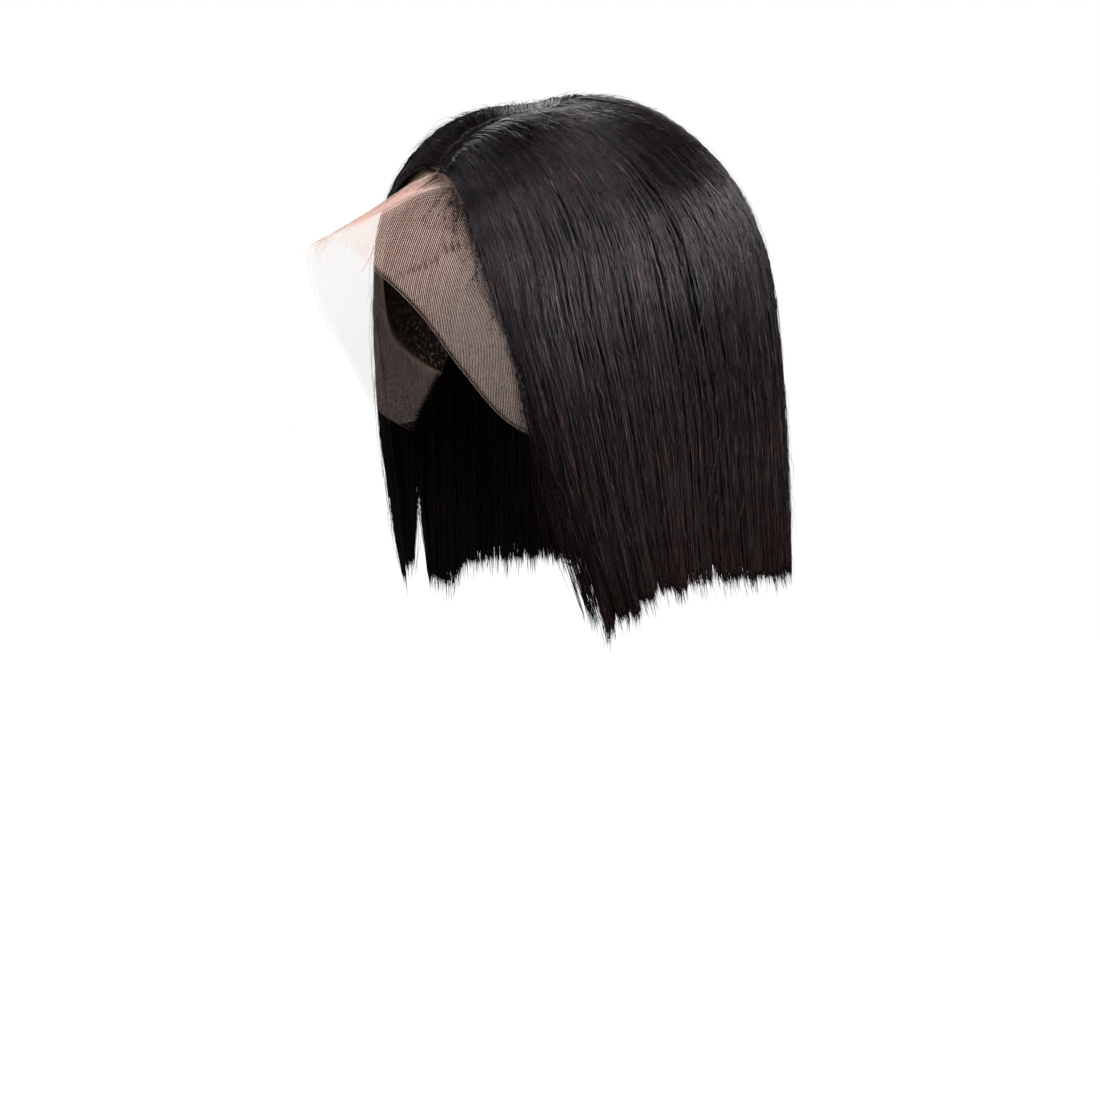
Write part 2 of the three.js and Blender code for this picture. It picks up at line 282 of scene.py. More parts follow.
@dataclass(frozen=True)
class HairForm:
    """The outer form of the hair: it leaves the part, goes over the cap and hangs to the hem.

    A share counts from the front edge (0) to the middle of the back (1), and on past it to the
    other side. A station counts along a strand: 0 at the part, 1 where it hangs, 2 at the hem.
    """

    dome: Dome
    levels: tuple[Level, ...] = (
        Level(-105, 102, 128, 56, -78),
        Level(-160, 105.5, 133, 68, -67),
        Level(-215, 108.5, 136, 69, -57),
        Level(-270, 110, 137, 77.5, -37),
    )
    plan_power: float = 2.3
    widest_y: float = 13
    hem_z: float = -259
    part_y: tuple[float, ...] = (-78.5, -57, -38, -22, -8, 4, 30)
    part_rise: tuple[float, ...] = (2.4, 5, 4, 4.5, 8, 10, 10.5)
    part_half_gap: float = 0.4
    part_closing: float = 6
    part_waves: Rows = ((1.1, 17), (0.8, 7.3))
    wave_run: Pair = (0.02, 0.25)
    wave_end: Pair = (0.7, 1)
    lift_width: float = 9
    lift_fades: Pair = (0.35, 0.66)
    cover: Pair = (5.2, 7)
    cover_run: float = 14 / 90
    round_front: float = 1.85
    round_side: float = 2.2
    last_turn: float = math.radians(82)
    round_blend: float = 0.3
    depth_at: tuple[float, ...] = (0, 0.09, 0.21, 0.36, 0.51, 0.67, 1.2, 1.4, 1.6, 1.78, 1.91, 2)
    depth: tuple[float, ...] = (5, 7, 8, 9, 11, 13, 16, 15, 13, 11, 8, 4)
    edge_least: float = 0.12
    edge_blend: float = 0.16
    clearance: Pair = (1.6, 3.4)
    clear_run: float = 22 / 90
    share_step: float = 0.012
    station_step: float = 0.05

    def outline(self, level: Level, share: Array) -> Array:
        """Points of the outline seen from above.

        Args:
            level: the height's sizes.
            share: places from the front edge to the middle of the back.

        Returns:
            x and y along the last axis.
        """
        power = 2 / self.plan_power
        front = math.pi - math.asin((level.front_x / level.half_width) ** (1 / power))
        angle = front * (1 - share)
        forward = (self.widest_y - level.front_y) / abs(math.cos(front)) ** power
        reach = np.where(angle < math.pi / 2, level.back_y - self.widest_y, -forward)
        x = level.half_width * np.abs(np.sin(angle)) ** power
        y = self.widest_y + reach * np.abs(np.cos(angle)) ** power
        return np.stack([x, y], axis=-1)

    def root(self, share: Array) -> Array:
        """Points on the part where strands start.

        Args:
            share: places from the front edge to the middle of the back.

        Returns:
            x, y and z along the last axis, on the side of positive x.
        """
        y = mix(self.part_y[0], self.part_y[-1], share)
        rise = np.interp(y, self.part_y, self.part_rise)
        x = self.part_half_gap * (1 - np.clip(share, 0, 1) ** self.part_closing)
        return np.stack([x, y, self.dome.arch(y) + rise], axis=-1)

    def part_shift(self, share: Array, station: Array) -> Array:
        """How far the part's uneven crease carries the hair beside it to the left.

        Args:
            share: places round the wig.
            station: places along the strands.

        Returns:
            The shift in mm.
        """
        place = from_edge(share)
        y = self.root(place)[..., 1]
        wave = sum(height * np.sin(2 * math.pi * y / length) for height, length in self.part_waves)
        return wave * (1 - smoothstep(station, *self.wave_run)) * (1 - smoothstep(place, *self.wave_end))

    def one_side(self, share: Array, station: Array, lift: float, longer: Array) -> Array:
        """Points of the outer form on the side of positive x.

        Args:
            share: places from the front edge to the middle of the back.
            station: places along the strands.
            lift: how far the hair stands up beside the part.
            longer: length beyond the hem.

        Returns:
            x, y and z along the last axis.
        """
        top, bottom = self.levels[0].z, self.levels[-1].z
        rings = np.stack([self.outline(level, share) for level in self.levels])
        fall = np.clip(station - 1, 0, None)
        fallen = top + (self.hem_z - longer - top) * fall
        reached = np.clip((fallen - top) / (bottom - top), 0, 1) * (len(self.levels) - 1)
        hung = smooth_curve(rings, reached)
        below = np.concatenate([hung, fallen[..., None]], axis=-1)

        turn = np.clip(station, 0, 1) * self.last_turn
        edge = smoothstep(share, 0, self.round_blend)
        power = 2 / mix(self.round_front, self.round_side, edge)
        out = (np.sin(turn) / math.sin(self.last_turn)) ** power
        end = math.cos(self.last_turn) ** power
        up = (np.cos(turn) ** power - end) / (1 - end)
        root = self.root(share)
        flat = mix(root[..., :2], rings[0], out[..., None])
        fade = 1 - smoothstep(share, *self.lift_fades)
        raised = lift * fade * (1 - bell(flat[..., 0], self.lift_width))
        height = mix(top, root[..., 2], up) + raised * up
        over = np.concatenate([flat, height[..., None]], axis=-1)
        cover = mix(*self.cover, edge) * smoothstep(station, 0, self.cover_run)
        over = self.dome.clear(over, cover)
        return np.where((station <= 1)[..., None], over, below)

    def point(self, share: Array, station: Array, lift: float, longer: Array) -> Array:
        """Points of the outer form all round.

        Args:
            share: places round the wig; past 1 they are on the other side.
            station: places along the strands.
            lift: how far the hair stands up beside the part.
            longer: length beyond the hem.

        Returns:
            x, y and z along the last axis.
        """
        point = self.one_side(from_edge(share), station, lift, longer)
        point[..., 0] *= np.where(share > 1, -1, 1)
        return point

    def outward(self, share: Array, station: Array, lift: float, longer: Array) -> Array:
        """Unit normals of the outer form.

        Args:
            share: places round the wig.
            station: places along the strands.
            lift: how far the hair stands up beside the part.
            longer: length beyond the hem.

        Returns:
            x, y and z along the last axis.
        """
        before, after = share - self.share_step, share + self.share_step
        above = np.maximum(station - self.station_step, 0)
        under = np.minimum(station + self.station_step, 2)
        across = self.point(after, station, lift, longer) - self.point(before, station, lift, longer)
        down = self.point(share, under, lift, longer) - self.point(share, above, lift, longer)
        return unit(np.cross(down, across))

    def thickness(self, share: Array, station: Array) -> Array:
        """Depth of the hair under its outer form, which thins out toward the front edge."""
        thin = mix(self.edge_least, 1, smoothstep(from_edge(share), 0, self.edge_blend))
        return np.interp(station, self.depth_at, self.depth) * thin

    def keep_clear(self, points: Array, station: Array) -> Array:
        """Points kept off the cap and the lace."""
        return self.dome.clear(points, mix(*self.clearance, smoothstep(station, 0, self.clear_run)))


def linear(colour: str) -> tuple[float, float, float, float]:
    """An sRGB hex colour as linear red, green, blue and alpha."""
    parts = (int(colour[i : i + 2], 16) / 255 for i in (1, 3, 5))
    return (*(p / 12.92 if p <= 0.04045 else ((p + 0.055) / 1.055) ** 2.4 for p in parts), 1.0)


def add_node(
    tree: bpy.types.NodeTree, kind: str, inputs: dict | tuple = (), **settings: object
) -> bpy.types.Node:
    """Adds a shader node with its settings and links.

    Args:
        tree: the node tree.
        kind: the node's type name, after the part that all of them share.
        inputs: for input sockets, by name or in order, a value, the output socket to link to it,
            or the node whose first output is linked to it.
        settings: attributes of the node.

    Returns:
        The new node.
    """
    node = tree.nodes.new("ShaderNode" + kind)
    for name, value in settings.items():
        setattr(node, name, value)
    for socket, value in inputs.items() if isinstance(inputs, dict) else enumerate(inputs):
        if isinstance(value, bpy.types.Node):
            value = value.outputs[0]
        if isinstance(value, bpy.types.NodeSocket):
            tree.links.new(value, node.inputs[socket])
        else:
            node.inputs[socket].default_value = value
    return node


def set_stops(ramp: bpy.types.Node, stops: Stops) -> None:
    """Gives a colour ramp its stops.

    Args:
        ramp: the colour ramp's node.
        stops: a place and an sRGB hex colour for each.
    """
    elements = ramp.color_ramp.elements
    while len(elements) < len(stops):
        elements.new(1.0)
    for element, (place, colour) in zip(elements, stops):
        element.position = place
        element.color = linear(colour)


class Finish:
    """A material whose nodes end in one shader.

    In order, a Map Range node takes a value, the range that it has and the range that it gets.
    """

    name: str

    def shading(self, tree: bpy.types.NodeTree) -> dict:
        """Adds the nodes before the shader and gives the shader's inputs."""
        raise NotImplementedError

    def material(self) -> Material:
        """Makes the material.

        Returns:
            A new material with the finish's nodes.
        """
        material = bpy.data.materials.new(self.name)
        material.use_nodes = True
        tree = material.node_tree
        tree.nodes.clear()
        shader = add_node(tree, "BsdfPrincipled", self.shading(tree))
        add_node(tree, "OutputMaterial", (shader,))
        return material


@dataclass(frozen=True)
class HairFinish(Finish):
    """Dyed human hair: smooth cuticle with a satin gloss, near black with some red-brown strands, whose
    light copper colour in patches is a painted glint.
    """

    name: str = "dyed_human_hair"
    # The two lightest stops are red-brown strand colour lightened into painted copper glints.
    tints: Stops = (
        (0.0, "#070506"),
        (0.4, "#151011"),
        (0.7, "#2a2022"),
        (0.84, "#4a3029"),
        (1.0, "#8b5b4a"),
    )
    # The gloss and the painted copper glints are broken along each strand: so many patches over the tint
    # scale and over the length.
    patches: tuple[float, float, float] = (120.0, 18.0, 1.0)
    dull_from: Pair = (0.5, 0.68)
    dulled_by: Pair = (-0.32, 0.0)
    worn_from: Pair = (0.35, 0.65)
    roughness: Pair = (0.36, 0.15)
    tip_colour: str = "#231410"
    tip_from: Pair = (0.5, 1.0)
    tip_share: Pair = (0.0, 0.6)
    ior: float = 1.55
    gloss: float = 0.5
    gloss_tint: str = "#fff4ff"

    def shading(self, tree: bpy.types.NodeTree) -> dict:
        """Colour by tint across the strand map, with painted copper glints in patches, browner toward the
        tips.

        Args:
            tree: the material's nodes.

        Returns:
            The shader's inputs.
        """
        place = add_node(tree, "UVMap", uv_map=STRAND_MAP)
        axes = add_node(tree, "SeparateXYZ", (place,))
        spread = add_node(tree, "Mapping", {"Vector": place, "Scale": self.patches})
        broken = add_node(tree, "TexNoise", {"Vector": spread, "Scale": 1.0, "Detail": 1.0})
        # Where the noise is low the tint is pulled down, so the painted glints show only in patches.
        dulled = add_node(tree, "MapRange", (broken, *self.dull_from, *self.dulled_by))
        shown = add_node(tree, "Math", (axes.outputs["X"], dulled), operation="ADD", use_clamp=True)
        tint = add_node(tree, "ValToRGB", (shown,))
        set_stops(tint, self.tints)
        worn = add_node(tree, "MapRange", (broken, *self.worn_from, *self.roughness))
        along = add_node(tree, "MapRange", (axes.outputs["Y"], *self.tip_from, *self.tip_share))
        return {
            "Base Color": add_node(tree, "MixRGB", (along, tint, linear(self.tip_colour))),
            "Roughness": worn,
            "IOR": self.ior,
            "Specular IOR Level": self.gloss,
            "Specular Tint": linear(self.gloss_tint),
        }


@dataclass(frozen=True)
class ThreadFinish(Finish):
    """Fine polyester lace thread, dyed a warm tan: a soft, slightly shiny monofilament."""

    name: str = "polyester_lace_thread"
    # The darker, pinker end is for gathered and twisted threads; in the folds it is partly painted shade.
    tints: Stops = ((0.0, "#f2e0d8"), (0.6, "#e8cdc2"), (1.0, "#cf9f90"))
    roughness: float = 0.5

    def shading(self, tree: bpy.types.NodeTree) -> dict:
        """Colour by tint across the strand map, from single threads to gathered ones, which are darker
        partly as painted shade in the folds.

        Args:
            tree: the material's nodes.

        Returns:
            The shader's inputs.
        """
        place = add_node(tree, "UVMap", uv_map=STRAND_MAP)
        axes = add_node(tree, "SeparateXYZ", (place,))
        tint = add_node(tree, "ValToRGB", (axes.outputs["X"],))
        set_stops(tint, self.tints)
        return {"Base Color": tint, "Roughness": self.roughness}


@dataclass(frozen=True)
class LaceFinish(Finish):
    """Sheer tulle: the haze of threads too fine to draw, with the hair's knots behind the hairline.

    Ranges along the sheet count from the seam (0) over the hairline (0.5) to the free edge (1).
    """

    name: str = "sheer_tulle"
    colour: str = "#d6b39c"
    knot_colour: str = "#1c1411"
    # In mm, coarser than life so that the knots show.
    knot_pitch: float = 1.7
    knot_edge: Pair = (0.55, 0.85)
    knot_contrast: Pair = (0.0, 0.3)
    knots_end: Pair = (0.47, 0.51)
    bare_from: Pair = (0.46, 0.53)
    cover: Pair = (0.4, 0.006)
    roughness: float = 0.6

    def shading(self, tree: bpy.types.NodeTree) -> dict:
        """Dotted with knots as far as the hairline, and nearly clear past it.

        Args:
            tree: the material's nodes.

        Returns:
            The shader's inputs.
        """
        place = add_node(tree, "TexCoord")
        down = add_node(tree, "SeparateXYZ", (place.outputs["UV"],)).outputs["Y"]
        knots = add_node(
            tree,
            "TexVoronoi",
            {"Vector": place.outputs["Object"], "Scale": 1 / (self.knot_pitch * MM)},
        )
        dots = add_node(tree, "MapRange", (knots, *self.knot_edge, *self.knot_contrast))
        behind = add_node(tree, "MapRange", (down, *self.knots_end))
        bare = add_node(tree, "Math", (dots, behind), operation="MAXIMUM")
        return {
            "Base Color": add_node(tree, "MixRGB", (bare, linear(self.knot_colour), linear(self.colour))),
            "Roughness": self.roughness,
            "Alpha": add_node(tree, "MapRange", (down, *self.bare_from, *self.cover)),
        }


@dataclass(frozen=True)
class CapFinish(Finish):
    """Knitted nylon stretch net, dark brown, with the hair's weft bands sewn on in rows."""

    name: str = "nylon_stretch_net"
    colour: str = "#2b211d"
    gap_colour: str = "#100c0b"
    # In mm, coarser than life so that the net shows.
    net_pitch: float = 2.0
    net_turn: tuple[float, float, float] = (0.6, 0.5, 0.8)
    thread_edge: Pair = (0.08, 0.2)
    weft_pitch: float = 14.0
    weft_waver: float = 0.6
    relief: float = 0.5
    relief_strength: float = 0.5
    roughness: float = 0.75

    def shading(self, tree: bpy.types.NodeTree) -> dict:
        """Threads round dark gaps, and raised bands at the wefts.

        Args:
            tree: the material's nodes.

        Returns:
            The shader's inputs.
        """
        place = add_node(tree, "TexCoord").outputs["Object"]
        turned = add_node(tree, "Mapping", {"Vector": place, "Rotation": self.net_turn})
        net = add_node(
            tree,
            "TexVoronoi",
            {"Vector": turned, "Scale": 1 / (self.net_pitch * MM)},
            feature="DISTANCE_TO_EDGE",
        )
        thread = add_node(tree, "MapRange", (net, *self.thread_edge))
        wefts = 1 / (self.weft_pitch * MM) / (2 * math.pi)
        bands = add_node(
            tree,
            "TexWave",
            {"Vector": place, "Scale": wefts, "Distortion": self.weft_waver},
            bands_direction="Z",
        )
        height = add_node(tree, "Math", (thread, bands.outputs["Fac"]), operation="SUBTRACT")
        bump = add_node(
            tree,
            "Bump",
            {"Height": height, "Strength": self.relief_strength, "Distance": self.relief * MM},
        )
        return {
            "Base Color": add_node(tree, "MixRGB", (thread, linear(self.colour), linear(self.gap_colour))),
            "Roughness": self.roughness,
            "Normal": bump,
        }


@dataclass(frozen=True)
class FloorFinish(Finish):
    """Matt studio floor paint with a faint mottle, which glows to the photograph's even white."""

    name: str = "matt_studio_paint"
    colours: Stops = ((0.35, "#585858"), (0.65, "#5b5b5b"))
    mottles: float = 3.0
    roughness: float = 0.9
    glow_colour: str = "#ffffff"
    glow: float = 0.93

    def shading(self, tree: bpy.types.NodeTree) -> dict:
        """Near white and matt, and clear from below so that it hides nothing there.

        Args:
            tree: the material's nodes.

        Returns:
            The shader's inputs.
        """
        place = add_node(tree, "TexCoord")
        noise = add_node(tree, "TexNoise", {"Vector": place.outputs["Object"], "Scale": self.mottles})
        tint = add_node(tree, "ValToRGB", (noise,))
        set_stops(tint, self.colours)
        face = add_node(tree, "NewGeometry")
        return {
            "Base Color": tint,
            "Roughness": self.roughness,
            "Emission Color": linear(self.glow_colour),
            "Emission Strength": self.glow,
            "Alpha": add_node(tree, "Math", (1.0, face.outputs["Backfacing"]), operation="SUBTRACT"),
        }


@dataclass
class Strands:
    """Thin closed tubes with pointed ends, gathered for one mesh."""

    sides: int = 3
    upright: float = 0.8
    map_width: float = 0.008
    points: list[Array] = field(default_factory=list)
    maps: list[Array] = field(default_factory=list)
    triangles: list[Array] = field(default_factory=list)
    quads: list[Array] = field(default_factory=list)
    count: int = 0

    def add(self, paths: Array, radius: Array, tint: Array, along: Array) -> None:
        """Adds strands that have the same number of points.

        Args:
            paths: a row of points for each strand, in mm.
            radius: the radius, or one for each of those points.
            tint: a place on the tint scale for each strand.
            along: how far from root to tip each point is.
        """
        strands, stops = paths.shape[:2]
        radius = np.broadcast_to(radius, (strands, stops))
        along = np.broadcast_to(along, (strands, stops))
        tint = MAP_MARGIN + (1 - 2 * MAP_MARGIN) * tint[:, None]
        self.maps.append(self.mapped(tint, along))
        self.points.append(self.tubes(paths, radius))
        triangles, quads = self.faces(stops - 2)
        each = 2 + (stops - 2) * self.sides
        starts = self.count + each * np.arange(strands)[:, None, None]
        self.triangles.append((starts + triangles).reshape(-1, 3))
        self.quads.append((starts + quads).reshape(-1, 4))
        self.count += each * strands

    def tubes(self, paths: Array, radius: Array) -> Array:
        """Corners of the tubes.

        Args:
            paths: a row of points for each strand, in mm.
            radius: the radius at each of those points.

        Returns:
            For each strand its first point, a ring round each inner point, and its last point.
        """
        way = unit(np.gradient(paths, axis=1))
        spare = np.where(np.abs(way[..., 2:]) > self.upright, [1.0, 0, 0], [0, 0, 1.0])
        across = unit(np.cross(way, spare))
        upward = np.cross(across, way)
        turn = np.arange(self.sides)[:, None] * 2 * math.pi / self.sides
        ring = across[:, 1:-1, None] * np.cos(turn) + upward[:, 1:-1, None] * np.sin(turn)
        ring = paths[:, 1:-1, None] + ring * radius[:, 1:-1, None, None]
        ring = ring.reshape(len(paths), -1, 3)
        return np.concatenate([paths[:, :1], ring, paths[:, -1:]], axis=1).reshape(-1, 3)

    def mapped(self, tint: Array, along: Array) -> Array:
        """Places of the tubes' corners on the strand map.

        Args:
            tint: a place across the map for each strand.
            along: a place along the map for each point.

        Returns:
            Both places for each corner, in the order of the tubes' corners.
        """
        strands, stops = along.shape
        offset = np.linspace(-self.map_width / 2, self.map_width / 2, self.sides)
        across = tint[..., None] + np.broadcast_to(offset, (strands, stops - 2, self.sides))
        body = np.stack([across, np.broadcast_to(along[:, 1:-1, None], across.shape)], -1)
        root, tip = (np.stack([tint, along[:, k : k + 1]], -1) for k in (0, stops - 1))
        return np.concatenate([root, body.reshape(strands, -1, 2), tip], axis=1).reshape(-1, 2)

    def faces(self, rings: int) -> tuple[Array, Array]:
        """Faces of one tube.

        Args:
            rings: how many rings the tube has.

        Returns:
            The corners of its pointed ends' triangles, and of its sides' quads.
        """
        k = np.arange(self.sides)
        following = (k + 1) % self.sides
        first = np.stack([np.zeros_like(k), 1 + following, 1 + k], -1)
        base = 1 + (rings - 1) * self.sides
        final = np.stack([np.full_like(k, base + self.sides), base + k, base + following], -1)
        lower = 1 + np.arange(rings - 1)[:, None] * self.sides
        upper = lower + self.sides
        walls = np.stack([lower + k, lower + following, upper + following, upper + k], -1)
        return np.concatenate([first, final]), walls.reshape(-1, 4)

    def piece(self, name: str, material: Material) -> Piece:
        """One object from all the strands.

        Args:
            name: the piece's name.
            material: the finish of every strand.

        Returns:
            The object, at the origin.
        """
        triangles, quads = np.concatenate(self.triangles), np.concatenate(self.quads)
        corners = np.concatenate([triangles.ravel(), quads.ravel()])
        starts = np.concatenate(
            [3 * np.arange(len(triangles)), triangles.size + 4 * np.arange(len(quads))]
        )
        mesh = bpy.data.meshes.new(name)
        mesh.vertices.add(self.count)
        mesh.vertices.foreach_set("co", (np.concatenate(self.points) * MM).ravel().astype(np.float32))
        mesh.loops.add(len(corners))
        mesh.loops.foreach_set("vertex_index", corners.astype(np.int32))
        mesh.polygons.add(len(starts))
        mesh.polygons.foreach_set("loop_start", starts.astype(np.int32))
        mesh.update(calc_edges=True)
        mesh.shade_smooth()
        layer = mesh.uv_layers.new(name=STRAND_MAP)
        layer.uv.foreach_set("vector", np.concatenate(self.maps)[corners].ravel().astype(np.float32))
        mesh.materials.append(material)
        piece = bpy.data.objects.new(name, mesh)
        bpy.context.scene.collection.objects.link(piece)
        return piece


def along_map(station: Array) -> Array:
    """Places along the strand map at stations from the part to the hem."""
    return np.clip(station / 2, MAP_MARGIN, 1 - MAP_MARGIN)


def grid_piece(name: str, points: Array, wall: float, material: Material) -> Piece:
    """A grid primitive drawn over a surface and given a wall.

    Args:
        name: the piece's name.
        points: rows and columns of points, in mm.
        wall: the wall's thickness, half to each side, in mm.
        material: the piece's finish.

    Returns:
        The object, at the origin, with a map from 0 to 1 across columns and rows.
    """
    rows, columns = points.shape[:2]
    bpy.ops.object.select_all(action="DESELECT")
    bpy.ops.mesh.primitive_grid_add(x_subdivisions=columns - 1, y_subdivisions=rows - 1, size=1)
    piece = bpy.context.object
    piece.name = piece.data.name = name
    piece.data.vertices.foreach_set("co", (points * MM).ravel().astype(np.float32))
    piece.data.update()
    bpy.ops.object.modifier_add(type="SOLIDIFY")
    piece.modifiers["Solidify"].thickness = wall * MM
    piece.modifiers["Solidify"].offset = 0
    bpy.ops.object.modifier_apply(modifier="Solidify")
    bpy.ops.object.shade_smooth()
    piece.data.materials.append(material)
    return piece


def dress(piece: Piece, slot: str, *nodes: str) -> Piece:
    """Fixes a piece to the body and reports it.

    Args:
        piece: the finished object.
        slot: the name of its finish; not used.
        nodes: the solids that it stands for.

    Returns:
        The same object.
    """
    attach(piece, BODY)
    if nodes:
        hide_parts(*nodes)
    triangles = sum(len(p.vertices) - 2 for p in piece.data.polygons)
    log.info("%s: %d triangles", piece.name, triangles)
    return piece


@dataclass(frozen=True)
class Lock:
    """One lock of a curtain: width, extra length, slit behind it, and how far it stands out."""

    width: float
    tip: float
    slit: float
    relief: float


FRONT_LOCKS = (Lock(1, 13, 22, 0.8), Lock(1.1, 21, 12, 1.2), Lock(1.1, 10, 12, 1.4))
SIDE_LOCKS = (
    Lock(0.9, 13, 10, 1.6),
    Lock(1.2, 4, 7, 1.8),
    Lock(0.8, -1, 9, 1.3),
    Lock(1.1, 0, 5, 1.9),
    Lock(1.0, -3, 8, 1.5),
    Lock(1.3, -4, 11, 2.0),
    Lock(0.9, -3, 6, 1.4),
    Lock(1.1, -3, 8, 1.7),
    Lock(1.0, -2, 5, 1.8),
    Lock(0.9, -3, 7, 1.4),
)
FAR_SIDE_TIPS = (-3, -2, -2, 10, 14, 4, 3, 3, 4, 3)
FAR_SIDE_LOCKS = tuple(replace(lock, tip=tip) for lock, tip in zip(SIDE_LOCKS, FAR_SIDE_TIPS))
BACK_LOCKS = (
    Lock(1.0, -4, 6, 1.7),
    Lock(1.2, -3, 8, 2.0),
    Lock(0.9, -5, 5, 1.4),
    Lock(1.1, -3, 7, 1.8),
    Lock(1.0, -5, 6, 1.6),
    Lock(1.2, -4, 9, 2.0),
    Lock(0.9, -6, 6, 1.5),
    Lock(1.1, -4, 7, 1.8),
    Lock(1.0, -5, 8, 1.6),
    Lock(1.1, -3, 5, 1.7),
)


@dataclass(frozen=True)
class Clumping:
    """How strands gather in clumps and clumps in locks: widths in shares, runs in stations."""

    clump_size: int = 5
    clump_width: float = 0.0012
    lock_size: int = 6
    lock_width: float = 0.012
    overlap: float = 0.012
    pull: Pair = (0.0, 0.35)
    pull_run: Pair = (0.2, 1.9)
    drift: float = 0.003
    drift_run: Pair = (0.6, 2)
    stray_share: float = 0.05
    stray_cross: float = 0.02
    cross: float = 0.0015
    cross_run: Pair = (0.3, 2)
    top_power: float = 1.8
    cap_depths: Pair = (0.3, 1.0)
    depth_spread: float = 0.03
    unevenness: float = 0.035
    tint_scale: float = 0.7
    tint_shape: Pair = (1.6, 2.2)
    tint_spread: float = 0.005


@dataclass(frozen=True)
class HemCut:
    """How unevenly the ends are cut, in mm, and how far in from the front edge they fray."""

    spread: float = 1.4
    step: Pair = (-1.5, 1.5)
    most: float = 90
    fray_reach: float = 0.045
    long_share: float = 0.22
    long_mean: float = 2.6
    long_most: float = 10.0


@dataclass(frozen=True)
class StrandShape:
    """A strand: its radius in mm, stouter than life so that it shows, its taper and its stations."""

    radius: float = 0.175
    radius_range: Pair = (0.7, 1.5)
    root_width: float = 0.75
    root_run: float = 0.1
    tip_width: float = 0.6
    tip_run: float = 0.8
    part_stops: tuple[float, ...] = (0, 0.015, 0.05, 0.13, 0.27, 0.43, 0.61, 0.8, 1.02, 1.35, 1.975, 2.0)
    stop_phase: Pair = (-0.45, 0.45)
    part_rise: float = 0.07
    cap_starts: Pair = (0.35, 0.95)
    cap_stops: tuple[float, ...] = (0, 0.22, 0.5, 0.78, 0.985, 1.0)
    cap_rise: float = 0.35
    # Share and tints of strands whose copper colour paints glints.
    painted_glint_share: float = 0.18
    painted_glint_tints: Pair = (0.78, 1.0)


@dataclass(frozen=True)
class Bed:
    """The bundles under the strands: how many to a share, and depth and radius in depths of hair."""

    bundles: float = 150
    least: int = 4
    depth: float = 0.48
    root_depth: float = 1.2
    rise: float = 0.13
    radius: float = 0.27
    stops: tuple[float, ...] = (
        0, 0.03, 0.1, 0.19, 0.32, 0.46, 0.61, 0.77, 0.94, 1.15, 1.4, 1.7, 1.97, 2.0
    )


